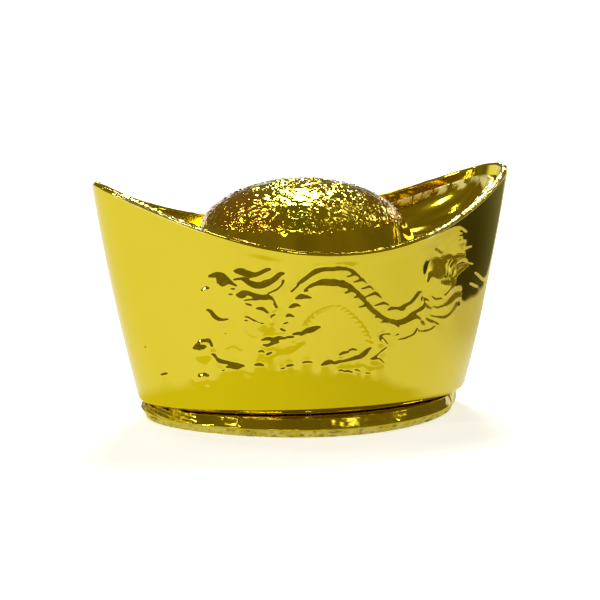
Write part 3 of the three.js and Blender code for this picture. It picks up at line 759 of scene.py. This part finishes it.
def gold_material(name, tone, deep_tone, patch_size, gloss_loss, specks, bump, wear_and_sheen_tone, wear_and_sheen_roughness):
    """The gold film under its clear lacquer. Where the mesh is marked with wear and sheen it is paler and
    duller: wear, glue and flash, and on the hull's near rim also a painted highlight.
    """
    material, tree, shader = new_material(name)
    film = tree.nodes.new("ShaderNodeGroup")
    film.node_tree = gold_film
    for socket, value in (("Tone", tone), ("Deep tone", deep_tone), ("Patch size", patch_size),
                          ("Gloss loss", gloss_loss), ("Specks", specks)):
        feed(tree, film.inputs[socket], value)
    wear_and_sheen = tree.nodes.new("ShaderNodeAttribute")
    wear_and_sheen.attribute_name = "wear_and_sheen"
    for kind, film_output, worn_value, shader_input in (
        ("RGBA", "Colour", wear_and_sheen_tone, "Base Color"), ("FLOAT", "Roughness", wear_and_sheen_roughness, "Roughness"),
    ):
        mixed = blended(tree, kind, wear_and_sheen.outputs["Fac"], film.outputs[film_output], worn_value)
        feed(tree, shader.inputs[shader_input], mixed)
    grain_bump = tree.nodes.new("ShaderNodeBump")
    grain_bump.inputs["Distance"].default_value = bump / 1000
    grain_bump.inputs["Strength"].default_value = 1
    feed(tree, grain_bump.inputs["Height"], film.outputs["Height"])
    feed(tree, shader.inputs["Normal"], grain_bump.outputs["Normal"])
    shader.inputs["Metallic"].default_value = 1
    shader.inputs["Coat Weight"].default_value = 0.5
    shader.inputs["Coat Roughness"].default_value = 0.02
    return material


# On the hull's near rim the paler marked tone is a painted highlight as well as wear.
hull.data.materials.append(gold_material(
    "hull gold", tone=(0.78, 0.64, 0.024), deep_tone=(0.735, 0.595, 0.018), patch_size=120, gloss_loss=0.12,
    specks=0.07, bump=0.002, wear_and_sheen_tone=(0.95, 0.88, 0.3), wear_and_sheen_roughness=0.22))
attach(hull, "root")
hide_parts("hull")

# Domed tray. A boat-shaped tray with a hammered dome drops into the hull and is glued with its edge just
# below the rim. It is moulded in the same plastic, and blobs of glue show along the seam.
TRAY_DROP = 1.9
TROUGH_DEPTH = 0.9
END_TROUGH = 9.8
SIDE_TROUGH = 0.75
SKIRT_HEIGHT = 4.7
SKIRT_END_SPREAD = 2.7
SKIRT_SIDE_SPREAD = 2.3
DOME_RISE = 6
DOME_START = math.radians(17.4)
DOME_FILLET = 0.5
DOME_FOOT = WAIST_HEIGHT - TRAY_DROP - TROUGH_DEPTH
DOME_SPRING = DOME_FOOT + SKIRT_HEIGHT
DOME_TOP = DOME_SPRING + DOME_RISE
POST_END = 8.7
POST_TOP = 23.5
CLEAR = WALL + GAP + WALL
TROUGH_ROWS = 16
TROUGH_CROWDING = 1.6  # above 1, the trough's rows stand closer together at the seam
FILLET_ROWS = 5
SKIRT_ROWS = 8
DOME_ROWS = 146
FIRST_UNDER_ROW, UNDER_ROW_STEP = 3, 9  # rows of the top that the under side follows


def dome_point(angle, grow, drawn_in, shrink, height):
    """A place round the dome, let out by grow, drawn in over the skirt and shrunk towards the top."""
    half_length = hull_point(0.0, DOME_FOOT)[0] - CLEAR - END_TROUGH - SKIRT_END_SPREAD * drawn_in
    half_width = hull_point(QUARTER, DOME_FOOT)[1] - CLEAR - SIDE_TROUGH - SKIRT_SIDE_SPREAD * drawn_in
    return plan_point(angle, (half_length + grow) * shrink, (half_width + grow) * shrink, 0, height)


def dome_curve(angle, share):
    """A place on the dome above its skirt, from 0 at the skirt to 1 at the top."""
    turn = mix(DOME_START, QUARTER, share)
    climb = (math.sin(turn) - math.sin(DOME_START)) / (1 - math.sin(DOME_START))
    return dome_point(angle, 0, 1, math.cos(turn) / math.cos(DOME_START), mix(DOME_SPRING, DOME_TOP, climb))


tray_angles = turns((180, 75), (360, 310), (450, 75))
tray_rims = rim_height(tray_angles)
top_rings = []
trough_low = dome_point(tray_angles, DOME_FILLET, 0, 1, DOME_FOOT - DOME_FILLET)
for i in range(TROUGH_ROWS):
    turn = QUARTER * (i / (TROUGH_ROWS - 1)) ** TROUGH_CROWDING
    height = mix(tray_rims - TRAY_DROP, trough_low[:, 2], math.sin(turn))
    beside_wall = hull_point(tray_angles, height, CLEAR)
    trough_ring = mix(beside_wall, trough_low, 1 - math.cos(turn))
    trough_ring[:, 2] = height
    top_rings.append(trough_ring)
for i in range(1, FILLET_ROWS + 1):
    turn = QUARTER * i / FILLET_ROWS
    grow = DOME_FILLET * (1 - math.sin(turn))
    top_rings.append(dome_point(tray_angles, grow, 0, 1, DOME_FOOT - DOME_FILLET * math.cos(turn)))
for i in range(1, SKIRT_ROWS + 1):
    share = i / SKIRT_ROWS
    top_rings.append(dome_point(tray_angles, 0, share, 1, mix(DOME_FOOT, DOME_SPRING, share)))
first_dome_ring = len(top_rings)
for i in range(1, DOME_ROWS):
    top_rings.append(dome_curve(tray_angles, i / DOME_ROWS))
top_rings = np.array(top_rings)
top_normals = outward(top_rings)
under_rings = (top_rings - top_normals * WALL)[FIRST_UNDER_ROW::UNDER_ROW_STEP][::-1]

# The hammering: flat facets, each lying on one smooth uneven surface, so that they meet with small steps.
HAMMER_FLOOR = 28.9
HAMMER_FADE = 0.3
HAMMERED_SKIRT_ROWS = 2
FACET_COUNT = 2500
FACET_SIZE = 0.6
FACET_SWELL = 0.07
SWELL_FINENESS = 0.62
FACET_TILT = 0.045
WILD_FACETS = 0.38  # share of the facets that lie more unevenly
WILD_TILT = 0.15
DEEPEST_FACET = 0.15
SLOPE_STEP = 0.02  # mm over which the uneven surface's slope is taken
# The film's tint on a facet, from 0 for greenish through PLAIN_TINT to 1 for orange. It is partly the film's
# own tint and partly a painted reflection, colouring the glints.
PLAIN_TINT = 0.5
TINT_SPREAD = 0.06
ORANGE_START, ORANGE_FADE = 5.5, 4  # mm from the middle, where orange facets begin
ORANGE_SHARES = (0.3, 1)
GREEN_PLACE, GREEN_SPREAD = -4.6, 2.2  # mm across, where the film is greenish
GREEN_SHARES = (0.2, 1)
FILM_AND_REFLECTION_TINTS = (
    (0, (0.62, 1, 0.9)), (0.4, (1, 1, 1)), (0.6, (1, 1, 1)), (0.8, (1, 0.72, 0.9)), (1, (1, 0.6, 1)))


def hammer_swell(place):
    return FACET_SWELL * noise.noise(place / FACET_SIZE * SWELL_FINENESS)


facet_random = random.Random(11)
facet_tree = kdtree.KDTree(FACET_COUNT)
facets = []
for i in range(FACET_COUNT):
    place = Vector(dome_curve(np.array(facet_random.uniform(0, 2 * math.pi)),
                              math.asin(facet_random.uniform(0, 1)) / QUARTER))
    here = hammer_swell(place)
    slope = Vector([(hammer_swell(place + Vector(axis) * SLOPE_STEP) - here) / SLOPE_STEP
                    for axis in ((1, 0, 0), (0, 1, 0), (0, 0, 1))])
    tilt = WILD_TILT if facet_random.random() < WILD_FACETS else FACET_TILT
    slope += Vector([facet_random.gauss(0, tilt) for _ in range(3)])
    orange = min(max((abs(place.x) - ORANGE_START) / ORANGE_FADE, 0), 1)
    orange *= facet_random.uniform(*ORANGE_SHARES)
    green = math.exp(-((place.x - GREEN_PLACE) / GREEN_SPREAD) ** 2)
    green *= facet_random.uniform(*GREEN_SHARES)
    tint = PLAIN_TINT + orange / 2 - green / 2 + facet_random.gauss(0, TINT_SPREAD)
    facets.append((place, here, slope, min(max(tint, 0), 1)))
    facet_tree.insert(place, i)
facet_tree.balance()

# The glue along the seam: a bead that swells and breaks, on the first rows of the trough.
BEAD_HEIGHT = 0.35
BEAD_ROWS = 4
BEAD_MIDDLE = 0.3
BEAD_LUMPS = ((1, 0.9), (0.6, 2.6))
GLUE_PALENESS = 2.5
glue = np.zeros(top_rings.shape[:2])
for row in range(BEAD_ROWS):
    for column in range(len(tray_angles) - 1):
        bead = max(BEAD_MIDDLE + unevenness(Vector(top_rings[row, column]), *BEAD_LUMPS), 0)
        top_rings[row, column, 2] += BEAD_HEIGHT * bead * math.sin(math.pi * row / BEAD_ROWS)
        glue[row, column] = min(bead * GLUE_PALENESS, 1)
    top_rings[row, -1] = top_rings[row, 0]
hammer = np.zeros(top_rings.shape[:2])
film_and_reflection_tint = np.full(top_rings.shape[:2], PLAIN_TINT)
for row in range(first_dome_ring - HAMMERED_SKIRT_ROWS, len(top_rings)):
    for column in range(len(tray_angles) - 1):
        point = Vector(top_rings[row, column])
        strength = min(max((point.z - HAMMER_FLOOR) / HAMMER_FADE, 0), 1)
        if strength:
            place, here, slope, tint = facets[facet_tree.find(point)[1]]
            hammer[row, column] = strength * (here + (point - place).dot(slope))
            film_and_reflection_tint[row, column] = mix(PLAIN_TINT, tint, strength)
    hammer[row, -1] = hammer[row, 0]
    film_and_reflection_tint[row, -1] = film_and_reflection_tint[row, 0]
top_rings += top_normals * np.clip(hammer, -DEEPEST_FACET, DEEPEST_FACET)[..., None]

tray_edge = hull_point(tray_angles, tray_rims - TRAY_DROP, WALL + GAP)
tray_rings = np.concatenate([
    np.tile([0.0, 0.0, DOME_TOP - WALL], (1, len(tray_angles), 1)),
    under_rings,
    tray_edge[None],
    top_rings,
    np.tile([0.0, 0.0, DOME_TOP], (1, len(tray_angles), 1)),
])
first_top_ring = 2 + len(under_rings)
tray_marks = {"wear_and_sheen": np.zeros(tray_rings.shape[:2]), "film and reflection tint": np.full(tray_rings.shape[:2], PLAIN_TINT)}
tray_marks["wear_and_sheen"][first_top_ring:-1] = glue
tray_marks["film and reflection tint"][first_top_ring:-1] = film_and_reflection_tint
tray = moulded_skin("domed_tray_gold", tray_rings, tray_marks)
join_to(tray, [round_pin(POST_RADIUS, POST_END, POST_TOP, place) for place in (-POST_PLACE, POST_PLACE)])
tray_gold = gold_material(
    "tray gold", tone=(0.75, 0.61, 0.014), deep_tone=(0.62, 0.47, 0.01), patch_size=160, gloss_loss=0.16,
    specks=0.03, bump=0.004, wear_and_sheen_tone=(1, 0.92, 0.4), wear_and_sheen_roughness=0.5)
tray_tree = tray_gold.node_tree
tray_colour = tray_tree.nodes["Principled BSDF"].inputs["Base Color"]
# The facets' tint: the film's own colour together with painted coloured reflection in the glints.
facet_tint = tray_tree.nodes.new("ShaderNodeAttribute")
facet_tint.attribute_name = "film and reflection tint"
tint_colour = ramp(tray_tree, facet_tint.outputs["Fac"], *FILM_AND_REFLECTION_TINTS)
film_colour = tray_colour.links[0].from_socket
feed(tray_tree, tray_colour, blended(tray_tree, "RGBA", 1, film_colour, tint_colour, "MULTIPLY"))
tray.data.materials.append(tray_gold)
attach(tray, "root")
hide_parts("domed_tray")

# Foot ring. A rounded band, a rounder oval than the hull's base, is glued under the hull a little off
# the middle. Its shoulder slopes up, so it mirrors the dark above.
FOOT_OFFSET = -0.5
FOOT_BELLY_HEIGHT = 0.2
FOOT_END_STEP = -1.1
FOOT_SIDE_STEP = 3.7
FOOT_END_SHOULDER = 0.8
FOOT_SIDE_SHOULDER = 4
FOOT_LOWER_STEP = 0.15
FOOT_END_BEVEL = 0.5
FOOT_SIDE_BEVEL = 1.3
FOOT_LEDGE_FALL = 0.15
FOOT_SEAT = 2.4
PLATE_THICKNESS = 1.05
BELLY_ROWS = 8
FACE_ROWS = 24
LEDGE_ROWS = 8


def foot_point(angle, end_inset, side_inset, height):
    """A place round the foot, inside its widest line by the insets."""
    half_length = BASE_LENGTH / 2 + FOOT_END_STEP - end_inset
    half_width = BASE_WIDTH / 2 + FOOT_SIDE_STEP - side_inset
    place = plan_point(angle, half_length, half_width, BASE_PINCH, height)
    place[..., 0] += FOOT_OFFSET
    return place


foot_angles = turns((180, 100), (360, 360), (450, 100))
opening = (FOOT_END_SHOULDER + FOOT_SEAT, FOOT_SIDE_SHOULDER + FOOT_SEAT)
belly_height = PLATE_THICKNESS + FOOT_BELLY_HEIGHT
foot_rings = [foot_point(foot_angles, *opening, PLATE_THICKNESS)]
for i in range(BELLY_ROWS + 1):
    turn = QUARTER * i / BELLY_ROWS
    inset = FOOT_LOWER_STEP * (1 - math.sin(turn))
    height = mix(belly_height, PLATE_THICKNESS, math.cos(turn))
    foot_rings.append(foot_point(foot_angles, inset, inset, height))
first_face_ring = len(foot_rings) - 1
for i in range(1, FACE_ROWS + 1):
    share = i / FACE_ROWS
    foot_rings.append(foot_point(foot_angles, FOOT_END_BEVEL * share, FOOT_SIDE_BEVEL * share,
                                 mix(belly_height, HULL_BOTTOM - FOOT_LEDGE_FALL, share)))
for i in range(1, LEDGE_ROWS + 1):
    share = i / LEDGE_ROWS
    foot_rings.append(foot_point(
        foot_angles, mix(FOOT_END_BEVEL, FOOT_END_SHOULDER, share),
        mix(FOOT_SIDE_BEVEL, FOOT_SIDE_SHOULDER, share), HULL_BOTTOM - FOOT_LEDGE_FALL * (1 - share)))
last_face_ring = len(foot_rings)
foot_rings.append(foot_point(foot_angles, *opening, HULL_BOTTOM))
foot_rings.append(foot_rings[0])
foot_rings = np.array(foot_rings)
face_normals = outward(foot_rings)

# What stands out of the moulded face or in from it. Reaches along it are in radians.
FACE_WAVES, WAVE_FINENESS = 0.05, 0.45
FACE_GRAIN, GRAIN_FINENESS = 0.025, 1.3
GRAIN_SHIFT = Vector((5, 0, 0))
JOINT_ANGLE = math.radians(232.5)  # the seam where the ring's flash overlaps
JOINT_STEP = 0.14
JOINT_FALL, JOINT_RISE = 0.3, 0.008
LEFT_LUMP = math.radians(186)  # middle of the rough lump at the left end
LUMP_REACH = 0.5
LUMP_MIDDLE, LUMP_TWIST = 0.2, 0.24
TWIST_UP, TWIST_ALONG = 13, 28  # how fast the lump's ridges turn, to a millimetre and to a radian
TWIST_ROUGHNESS, TWIST_FINENESS = 0.8, 2.6
RIGHT_LOBE = math.radians(352)  # middle of the rounded lobe at the right end
LOBE_REACH = 0.38
LOBE_HEIGHT = 0.45
FACE_FADES = (0.1, 0.15)  # shares of the face over which all this fades at its lower and upper edges


def face_unevenness(angle, place, share):
    """How far the moulded face stands out or in, in millimetres."""
    spot = Vector(place)
    out = FACE_WAVES * noise.noise(spot * WAVE_FINENESS)
    out += FACE_GRAIN * noise.noise(spot * GRAIN_FINENESS + GRAIN_SHIFT)
    before_joint = JOINT_ANGLE - angle
    if 0 <= before_joint < JOINT_FALL:
        out += JOINT_STEP * (1 - before_joint / JOINT_FALL) * min(before_joint / JOINT_RISE, 1)
    lump = 1 - min(abs(angle - LEFT_LUMP) / LUMP_REACH, 1) ** 2
    if lump > 0:
        twist = math.sin(place[2] * TWIST_UP + angle * TWIST_ALONG)
        twist += TWIST_ROUGHNESS * noise.noise(spot * TWIST_FINENESS)
        out += lump * (LUMP_MIDDLE + LUMP_TWIST * twist)
    lobe = 1 - min(abs(angle - RIGHT_LOBE) / LOBE_REACH, 1) ** 2
    return out + LOBE_HEIGHT * lobe * math.sin(math.pi * min(max(share, 0), 1)) ** 0.5


for row in range(first_face_ring, last_face_ring):
    share = (row - first_face_ring) / (last_face_ring - 1 - first_face_ring)
    fade = max(min(share / FACE_FADES[0], (1 - share) / FACE_FADES[1], 1), 0)
    for column, angle in enumerate(foot_angles):
        place = foot_rings[row, column]
        moved = face_unevenness(angle % (2 * math.pi), place, share) * fade
        foot_rings[row, column] = place + face_normals[row, column] * moved
foot_rings[:, -1] = foot_rings[:, 0]
foot = moulded_skin("foot_ring_gold", foot_rings)
foot.data.materials.append(gold_material(
    "foot gold", tone=(0.7, 0.56, 0.012), deep_tone=(0.6, 0.46, 0.008), patch_size=160, gloss_loss=0.2,
    specks=0.03, bump=0.004, wear_and_sheen_tone=(0.9, 0.84, 0.36), wear_and_sheen_roughness=0.35))
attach(foot, "root")
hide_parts("foot_ring")

# Bottom plate. A thin moulded plate closes the foot. Its edge draws in towards the shelf and is rough and
# chipped, where the flash was broken off. A spigot centres the ring and two pegs enter the hull's bosses.
PLATE_INSET = 0.25
PLATE_TAPER = 0.45
PLATE_EDGE_ROWS = 12
PLATE_RIM = 0.8  # breadth of the uneven strip along the underside's edge
SPIGOT_HEIGHT = 1.2
SPIGOT_WALL = 1.2
PEG_TOP = POST_END - 0.5
CHIP_DEPTH = 0.3
CHIP_FINENESS = Vector((1.1, 1.1, 2))
CHIP_GRAIN, CHIP_GRAIN_FINENESS = 0.7, 3.1
CHIP_START, CHIP_STEEPNESS = 0.25, 3
FLASH_DEPTH = 0.15
FLASH_FINENESS, FLASH_SHIFT = 0.5, Vector((9, 0, 0))
FLASH_GRAIN, FLASH_GRAIN_FINENESS = 0.8, 1.9
FLASH_PALENESS = 0.55

under_inset = PLATE_INSET + PLATE_TAPER + PLATE_RIM
plate_rings = [np.tile([0.0, 0.0, 0.0], (len(foot_angles), 1))]
plate_rings.append(foot_point(foot_angles, under_inset, under_inset, 0.0))
first_edge_ring = len(plate_rings)
for i in range(PLATE_EDGE_ROWS + 1):
    share = i / PLATE_EDGE_ROWS
    inset = PLATE_INSET + PLATE_TAPER * (1 - share)
    plate_rings.append(foot_point(foot_angles, inset, inset, PLATE_THICKNESS * share))
last_edge_ring = len(plate_rings)
for inset, height in (
    (GAP, PLATE_THICKNESS), (GAP, PLATE_THICKNESS + SPIGOT_HEIGHT),
    (GAP + SPIGOT_WALL, PLATE_THICKNESS + SPIGOT_HEIGHT), (GAP + SPIGOT_WALL, PLATE_THICKNESS),
):
    plate_rings.append(foot_point(foot_angles, opening[0] + inset, opening[1] + inset, height))
plate_rings.append(np.tile([0.0, 0.0, PLATE_THICKNESS], (len(foot_angles), 1)))
plate_rings = np.array(plate_rings)
plate_worn = np.zeros(plate_rings.shape[:2])
for row in range(first_edge_ring, last_edge_ring):
    for column in range(len(foot_angles) - 1):
        spot = Vector(plate_rings[row, column])
        chip = noise.noise(spot * CHIP_FINENESS) + CHIP_GRAIN * noise.noise(spot * CHIP_GRAIN_FINENESS)
        flash = noise.noise(spot * FLASH_FINENESS + FLASH_SHIFT)
        flash += FLASH_GRAIN * noise.noise(spot * FLASH_GRAIN_FINENESS)
        inset = CHIP_DEPTH * min(max(chip - CHIP_START, 0) * CHIP_STEEPNESS, 1) + FLASH_DEPTH * max(-flash, 0)
        plate_rings[row, column, :2] *= 1 - inset / np.linalg.norm(plate_rings[row, column, :2])
        plate_worn[row, column] = min(max(FLASH_PALENESS + flash, 0), 1)
    plate_rings[row, -1] = plate_rings[row, 0]
plate = moulded_skin("bottom_plate_gold", plate_rings, {"wear_and_sheen": plate_worn})
join_to(plate, [round_pin(POST_RADIUS, PLATE_THICKNESS / 2, PEG_TOP, place)
                for place in (-POST_PLACE, POST_PLACE)])
plate_gold = gold_material(
    "plate gold", tone=(0.67, 0.55, 0.09), deep_tone=(0.4, 0.31, 0.05), patch_size=500, gloss_loss=0.6,
    specks=0.06, bump=0.03, wear_and_sheen_tone=(0.7, 0.6, 0.24), wear_and_sheen_roughness=0.5)
plate_shader = plate_gold.node_tree.nodes["Principled BSDF"]
plate_shader.inputs["Metallic"].default_value = 0.6
plate_shader.inputs["Coat Weight"].default_value = 0.3
plate.data.materials.append(plate_gold)
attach(plate, "root")
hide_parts("bottom_plate")

# Studio floor. It is pale under the camera. Glossy and transmission rays see a painted reflection instead, an
# emission
# that shows only in the gold: paler to the left, a painted golden pool of shade near the foot, where only
# light off the gold falls, and painted dark where it ends on the right.
FLOOR_SIZE = 6  # metres
FLOOR_DROP = 0.00002
FLOOR_COLOUR = (0.9, 0.9, 0.9)
FLOOR_GLOW = 0.6
# The painted reflection's colours, and where they change: (start, end) in millimetres across from the middle,
# back from it, or away from a place on the floor.
PAINTED_REFLECTION_LEFT, PAINTED_REFLECTION_RIGHT, PAINTED_REFLECTION_ACROSS = (0.98, 0.96, 0.87), (0.8, 0.77, 0.68), (-60, 80)
PAINTED_SHADE_RIGHT, PAINTED_SHADE_RIGHT_ACROSS, PAINTED_SHADE_RIGHT_BACK = (0.66, 0.6, 0.34), (38, 64), (-34, 4)
PAINTED_GOLDEN_SHADE_LEFT, PAINTED_GOLDEN_SHADE_RIGHT, PAINTED_GOLDEN_SHADE_ACROSS = (0.8, 0.76, 0.08), (0.66, 0.62, 0.08), (-30, 15)
PAINTED_GOLDEN_SHADE_PLACE, PAINTED_GOLDEN_SHADE_REACH = (-4.5, -6), (32, 27)
PAINTED_DARK_FRONT, PAINTED_DARK_BEHIND, PAINTED_DARK_BACK = (0.05, 0.042, 0.015), (0.17, 0.16, 0.09), (0, 100)
PAINTED_DARK_PLACE, PAINTED_DARK_REACH = (187, 33), (104, 97)
bpy.ops.object.select_all(action="DESELECT")
bpy.ops.mesh.primitive_plane_add(size=FLOOR_SIZE, location=(0, 0, -FLOOR_DROP))
floor = bpy.context.object
floor.name = "studio_floor"
floor_material, floor_tree, floor_shader = new_material("pale floor and painted reflection")
for socket, value in (("Base Color", FLOOR_COLOUR), ("Roughness", 1), ("Specular IOR Level", 0),
                      ("Emission Color", (1, 1, 1)), ("Emission Strength", FLOOR_GLOW)):
    feed(floor_tree, floor_shader.inputs[socket], value)
floor_place = floor_tree.nodes.new("ShaderNodeTexCoord").outputs["Object"]
floor_axes = floor_tree.nodes.new("ShaderNodeSeparateXYZ")
feed(floor_tree, floor_axes.inputs["Vector"], floor_place)


def floor_step(value, start, end):
    """A smooth step from 0 to 1 as a value in metres goes from the start to the end, in millimetres."""
    return stepped(floor_tree, value, start / 1000, end / 1000, "SMOOTHSTEP")


def floor_distance(across, back):
    """How far a place on the floor is from this one, given in millimetres."""
    away = floor_tree.nodes.new("ShaderNodeVectorMath")
    away.operation = "DISTANCE"
    away.inputs[1].default_value = (across / 1000, back / 1000, 0)
    feed(floor_tree, away.inputs[0], floor_place)
    return away.outputs["Value"]


def floor_mix(amount, first, second):
    return blended(floor_tree, "RGBA", amount, first, second)


across, back = floor_axes.outputs["X"], floor_axes.outputs["Y"]
painted_pale = floor_mix(floor_step(across, *PAINTED_REFLECTION_ACROSS), PAINTED_REFLECTION_LEFT, PAINTED_REFLECTION_RIGHT)
painted_right_shade = reckon(
    floor_tree, "MULTIPLY", floor_step(across, *PAINTED_SHADE_RIGHT_ACROSS), floor_step(back, *PAINTED_SHADE_RIGHT_BACK))
painted_pale = floor_mix(painted_right_shade, painted_pale, PAINTED_SHADE_RIGHT)
painted_golden_shade = floor_mix(floor_step(across, *PAINTED_GOLDEN_SHADE_ACROSS), PAINTED_GOLDEN_SHADE_LEFT, PAINTED_GOLDEN_SHADE_RIGHT)
painted_golden_pool = floor_mix(floor_step(floor_distance(*PAINTED_GOLDEN_SHADE_PLACE), *PAINTED_GOLDEN_SHADE_REACH), painted_pale, painted_golden_shade)
painted_dark = floor_mix(floor_step(back, *PAINTED_DARK_BACK), PAINTED_DARK_FRONT, PAINTED_DARK_BEHIND)
painted_reflection = floor_mix(floor_step(floor_distance(*PAINTED_DARK_PLACE), *PAINTED_DARK_REACH), painted_golden_pool, painted_dark)
# The painted reflection: an emission that glossy and transmission rays see in place of the lit floor, with
# painted shade near the foot and on the right.
painted_reflection_glow = floor_tree.nodes.new("ShaderNodeEmission")
feed(floor_tree, painted_reflection_glow.inputs["Color"], painted_reflection)
ray = floor_tree.nodes.new("ShaderNodeLightPath").outputs
through_gold = reckon(floor_tree, "MAXIMUM", ray["Is Glossy Ray"], ray["Is Transmission Ray"])
floor_side = floor_tree.nodes.new("ShaderNodeNewGeometry")
left_out = floor_tree.nodes.new("ShaderNodeBsdfTransparent")
floor_look = floor_shader.outputs["BSDF"]
# Seen from below, the floor is left out, so that the underside shows.
for amount, other_look in ((through_gold, painted_reflection_glow.outputs["Emission"]),
                           (floor_side.outputs["Backfacing"], left_out.outputs["BSDF"])):
    either = floor_tree.nodes.new("ShaderNodeMixShader")
    feed(floor_tree, either.inputs["Fac"], amount)
    feed(floor_tree, either.inputs[1], floor_look)
    feed(floor_tree, either.inputs[2], other_look)
    floor_look = either.outputs["Shader"]
feed(floor_tree, floor_tree.nodes["Material Output"].inputs["Surface"], floor_look)
floor.data.materials.append(floor_material)

# The room and its lamps: a white backdrop low in front and behind, and above it a dark warm ceiling in
# faint patches. The lamps are soft, stand round the ingot and face it, and their glints lie on the dome.
CEILING_PATCHES = 3
CEILING_COLOURS = ((0.35, (0.15, 0.12, 0.026)), (0.65, (0.21, 0.165, 0.045)))
BACKDROP_TOP, BACKDROP_FULL = 0.17, 0.13  # its upper edge, from 0 level to 1 overhead
BACKDROP_SIDE, BACKDROP_FRONT = 0.3, 0.5  # its ends, from 0 at the sides to 1 in front or behind
world = bpy.data.worlds.new("studio")
bpy.context.scene.world = world
world.use_nodes = True
sky = world.node_tree
direction = sky.nodes.new("ShaderNodeTexCoord").outputs["Generated"]
sky_axes = sky.nodes.new("ShaderNodeSeparateXYZ")
feed(sky, sky_axes.inputs["Vector"], direction)
ceiling = ramp(sky, cloudy(sky, direction, CEILING_PATCHES, detail=3), *CEILING_COLOURS)
low = stepped(sky, sky_axes.outputs["Z"], BACKDROP_TOP, BACKDROP_FULL)
facing = stepped(sky, reckon(sky, "ABSOLUTE", sky_axes.outputs["Y"]), BACKDROP_SIDE, BACKDROP_FRONT)
room = blended(sky, "RGBA", reckon(sky, "MULTIPLY", low, facing), ceiling, (1, 1, 1))
feed(sky, sky.nodes["Background"].inputs["Color"], room)

LAMP_DISTANCE = 0.9  # metres
for name, turn, climb, width, height, power in (  # degrees round from the front and up, metres, watts
    ("window_behind", 159, 50, 0.18, 0.3, 3.8),
    ("lamp_behind_left", 214, 62, 0.18, 0.22, 0.8),
    ("lamp_right_high", 122, 55, 0.14, 0.14, 0.1),
    ("lamp_right_low", 128, 20, 0.2, 0.12, 0.2),
    ("lamp_front_left_a", -78, 52, 0.06, 0.05, 0.09),
    ("lamp_front_left_b", -32, 54, 0.24, 0.06, 0.5),
    ("lamp_front_left_c", 6, 53, 0.06, 0.05, 0.09),
    ("lamp_left_low", -82, 27, 0.08, 0.08, 0.8),
    ("lamp_left_small_a", -114, 37, 0.03, 0.03, 0.1),
    ("lamp_left_small_b", -121, 40, 0.025, 0.025, 0.07),
    ("lamp_right_front", 63, 65, 0.12, 0.12, 0.1),
    ("lamp_right", 99, 44, 0.1, 0.1, 0.24),
):
    turn, climb = math.radians(turn), math.radians(climb)
    away = Vector((math.sin(turn) * math.cos(climb), -math.cos(turn) * math.cos(climb), math.sin(climb)))
    light = bpy.data.lights.new(name, "AREA")
    light.shape = "RECTANGLE"
    light.size = width
    light.size_y = height
    light.energy = power
    lamp = bpy.data.objects.new(name, light)
    bpy.context.collection.objects.link(lamp)
    facing_in = away.to_track_quat("Z", "Y").to_matrix().to_4x4()
    lamp.matrix_world = Matrix.Translation(away * LAMP_DISTANCE) @ facing_in
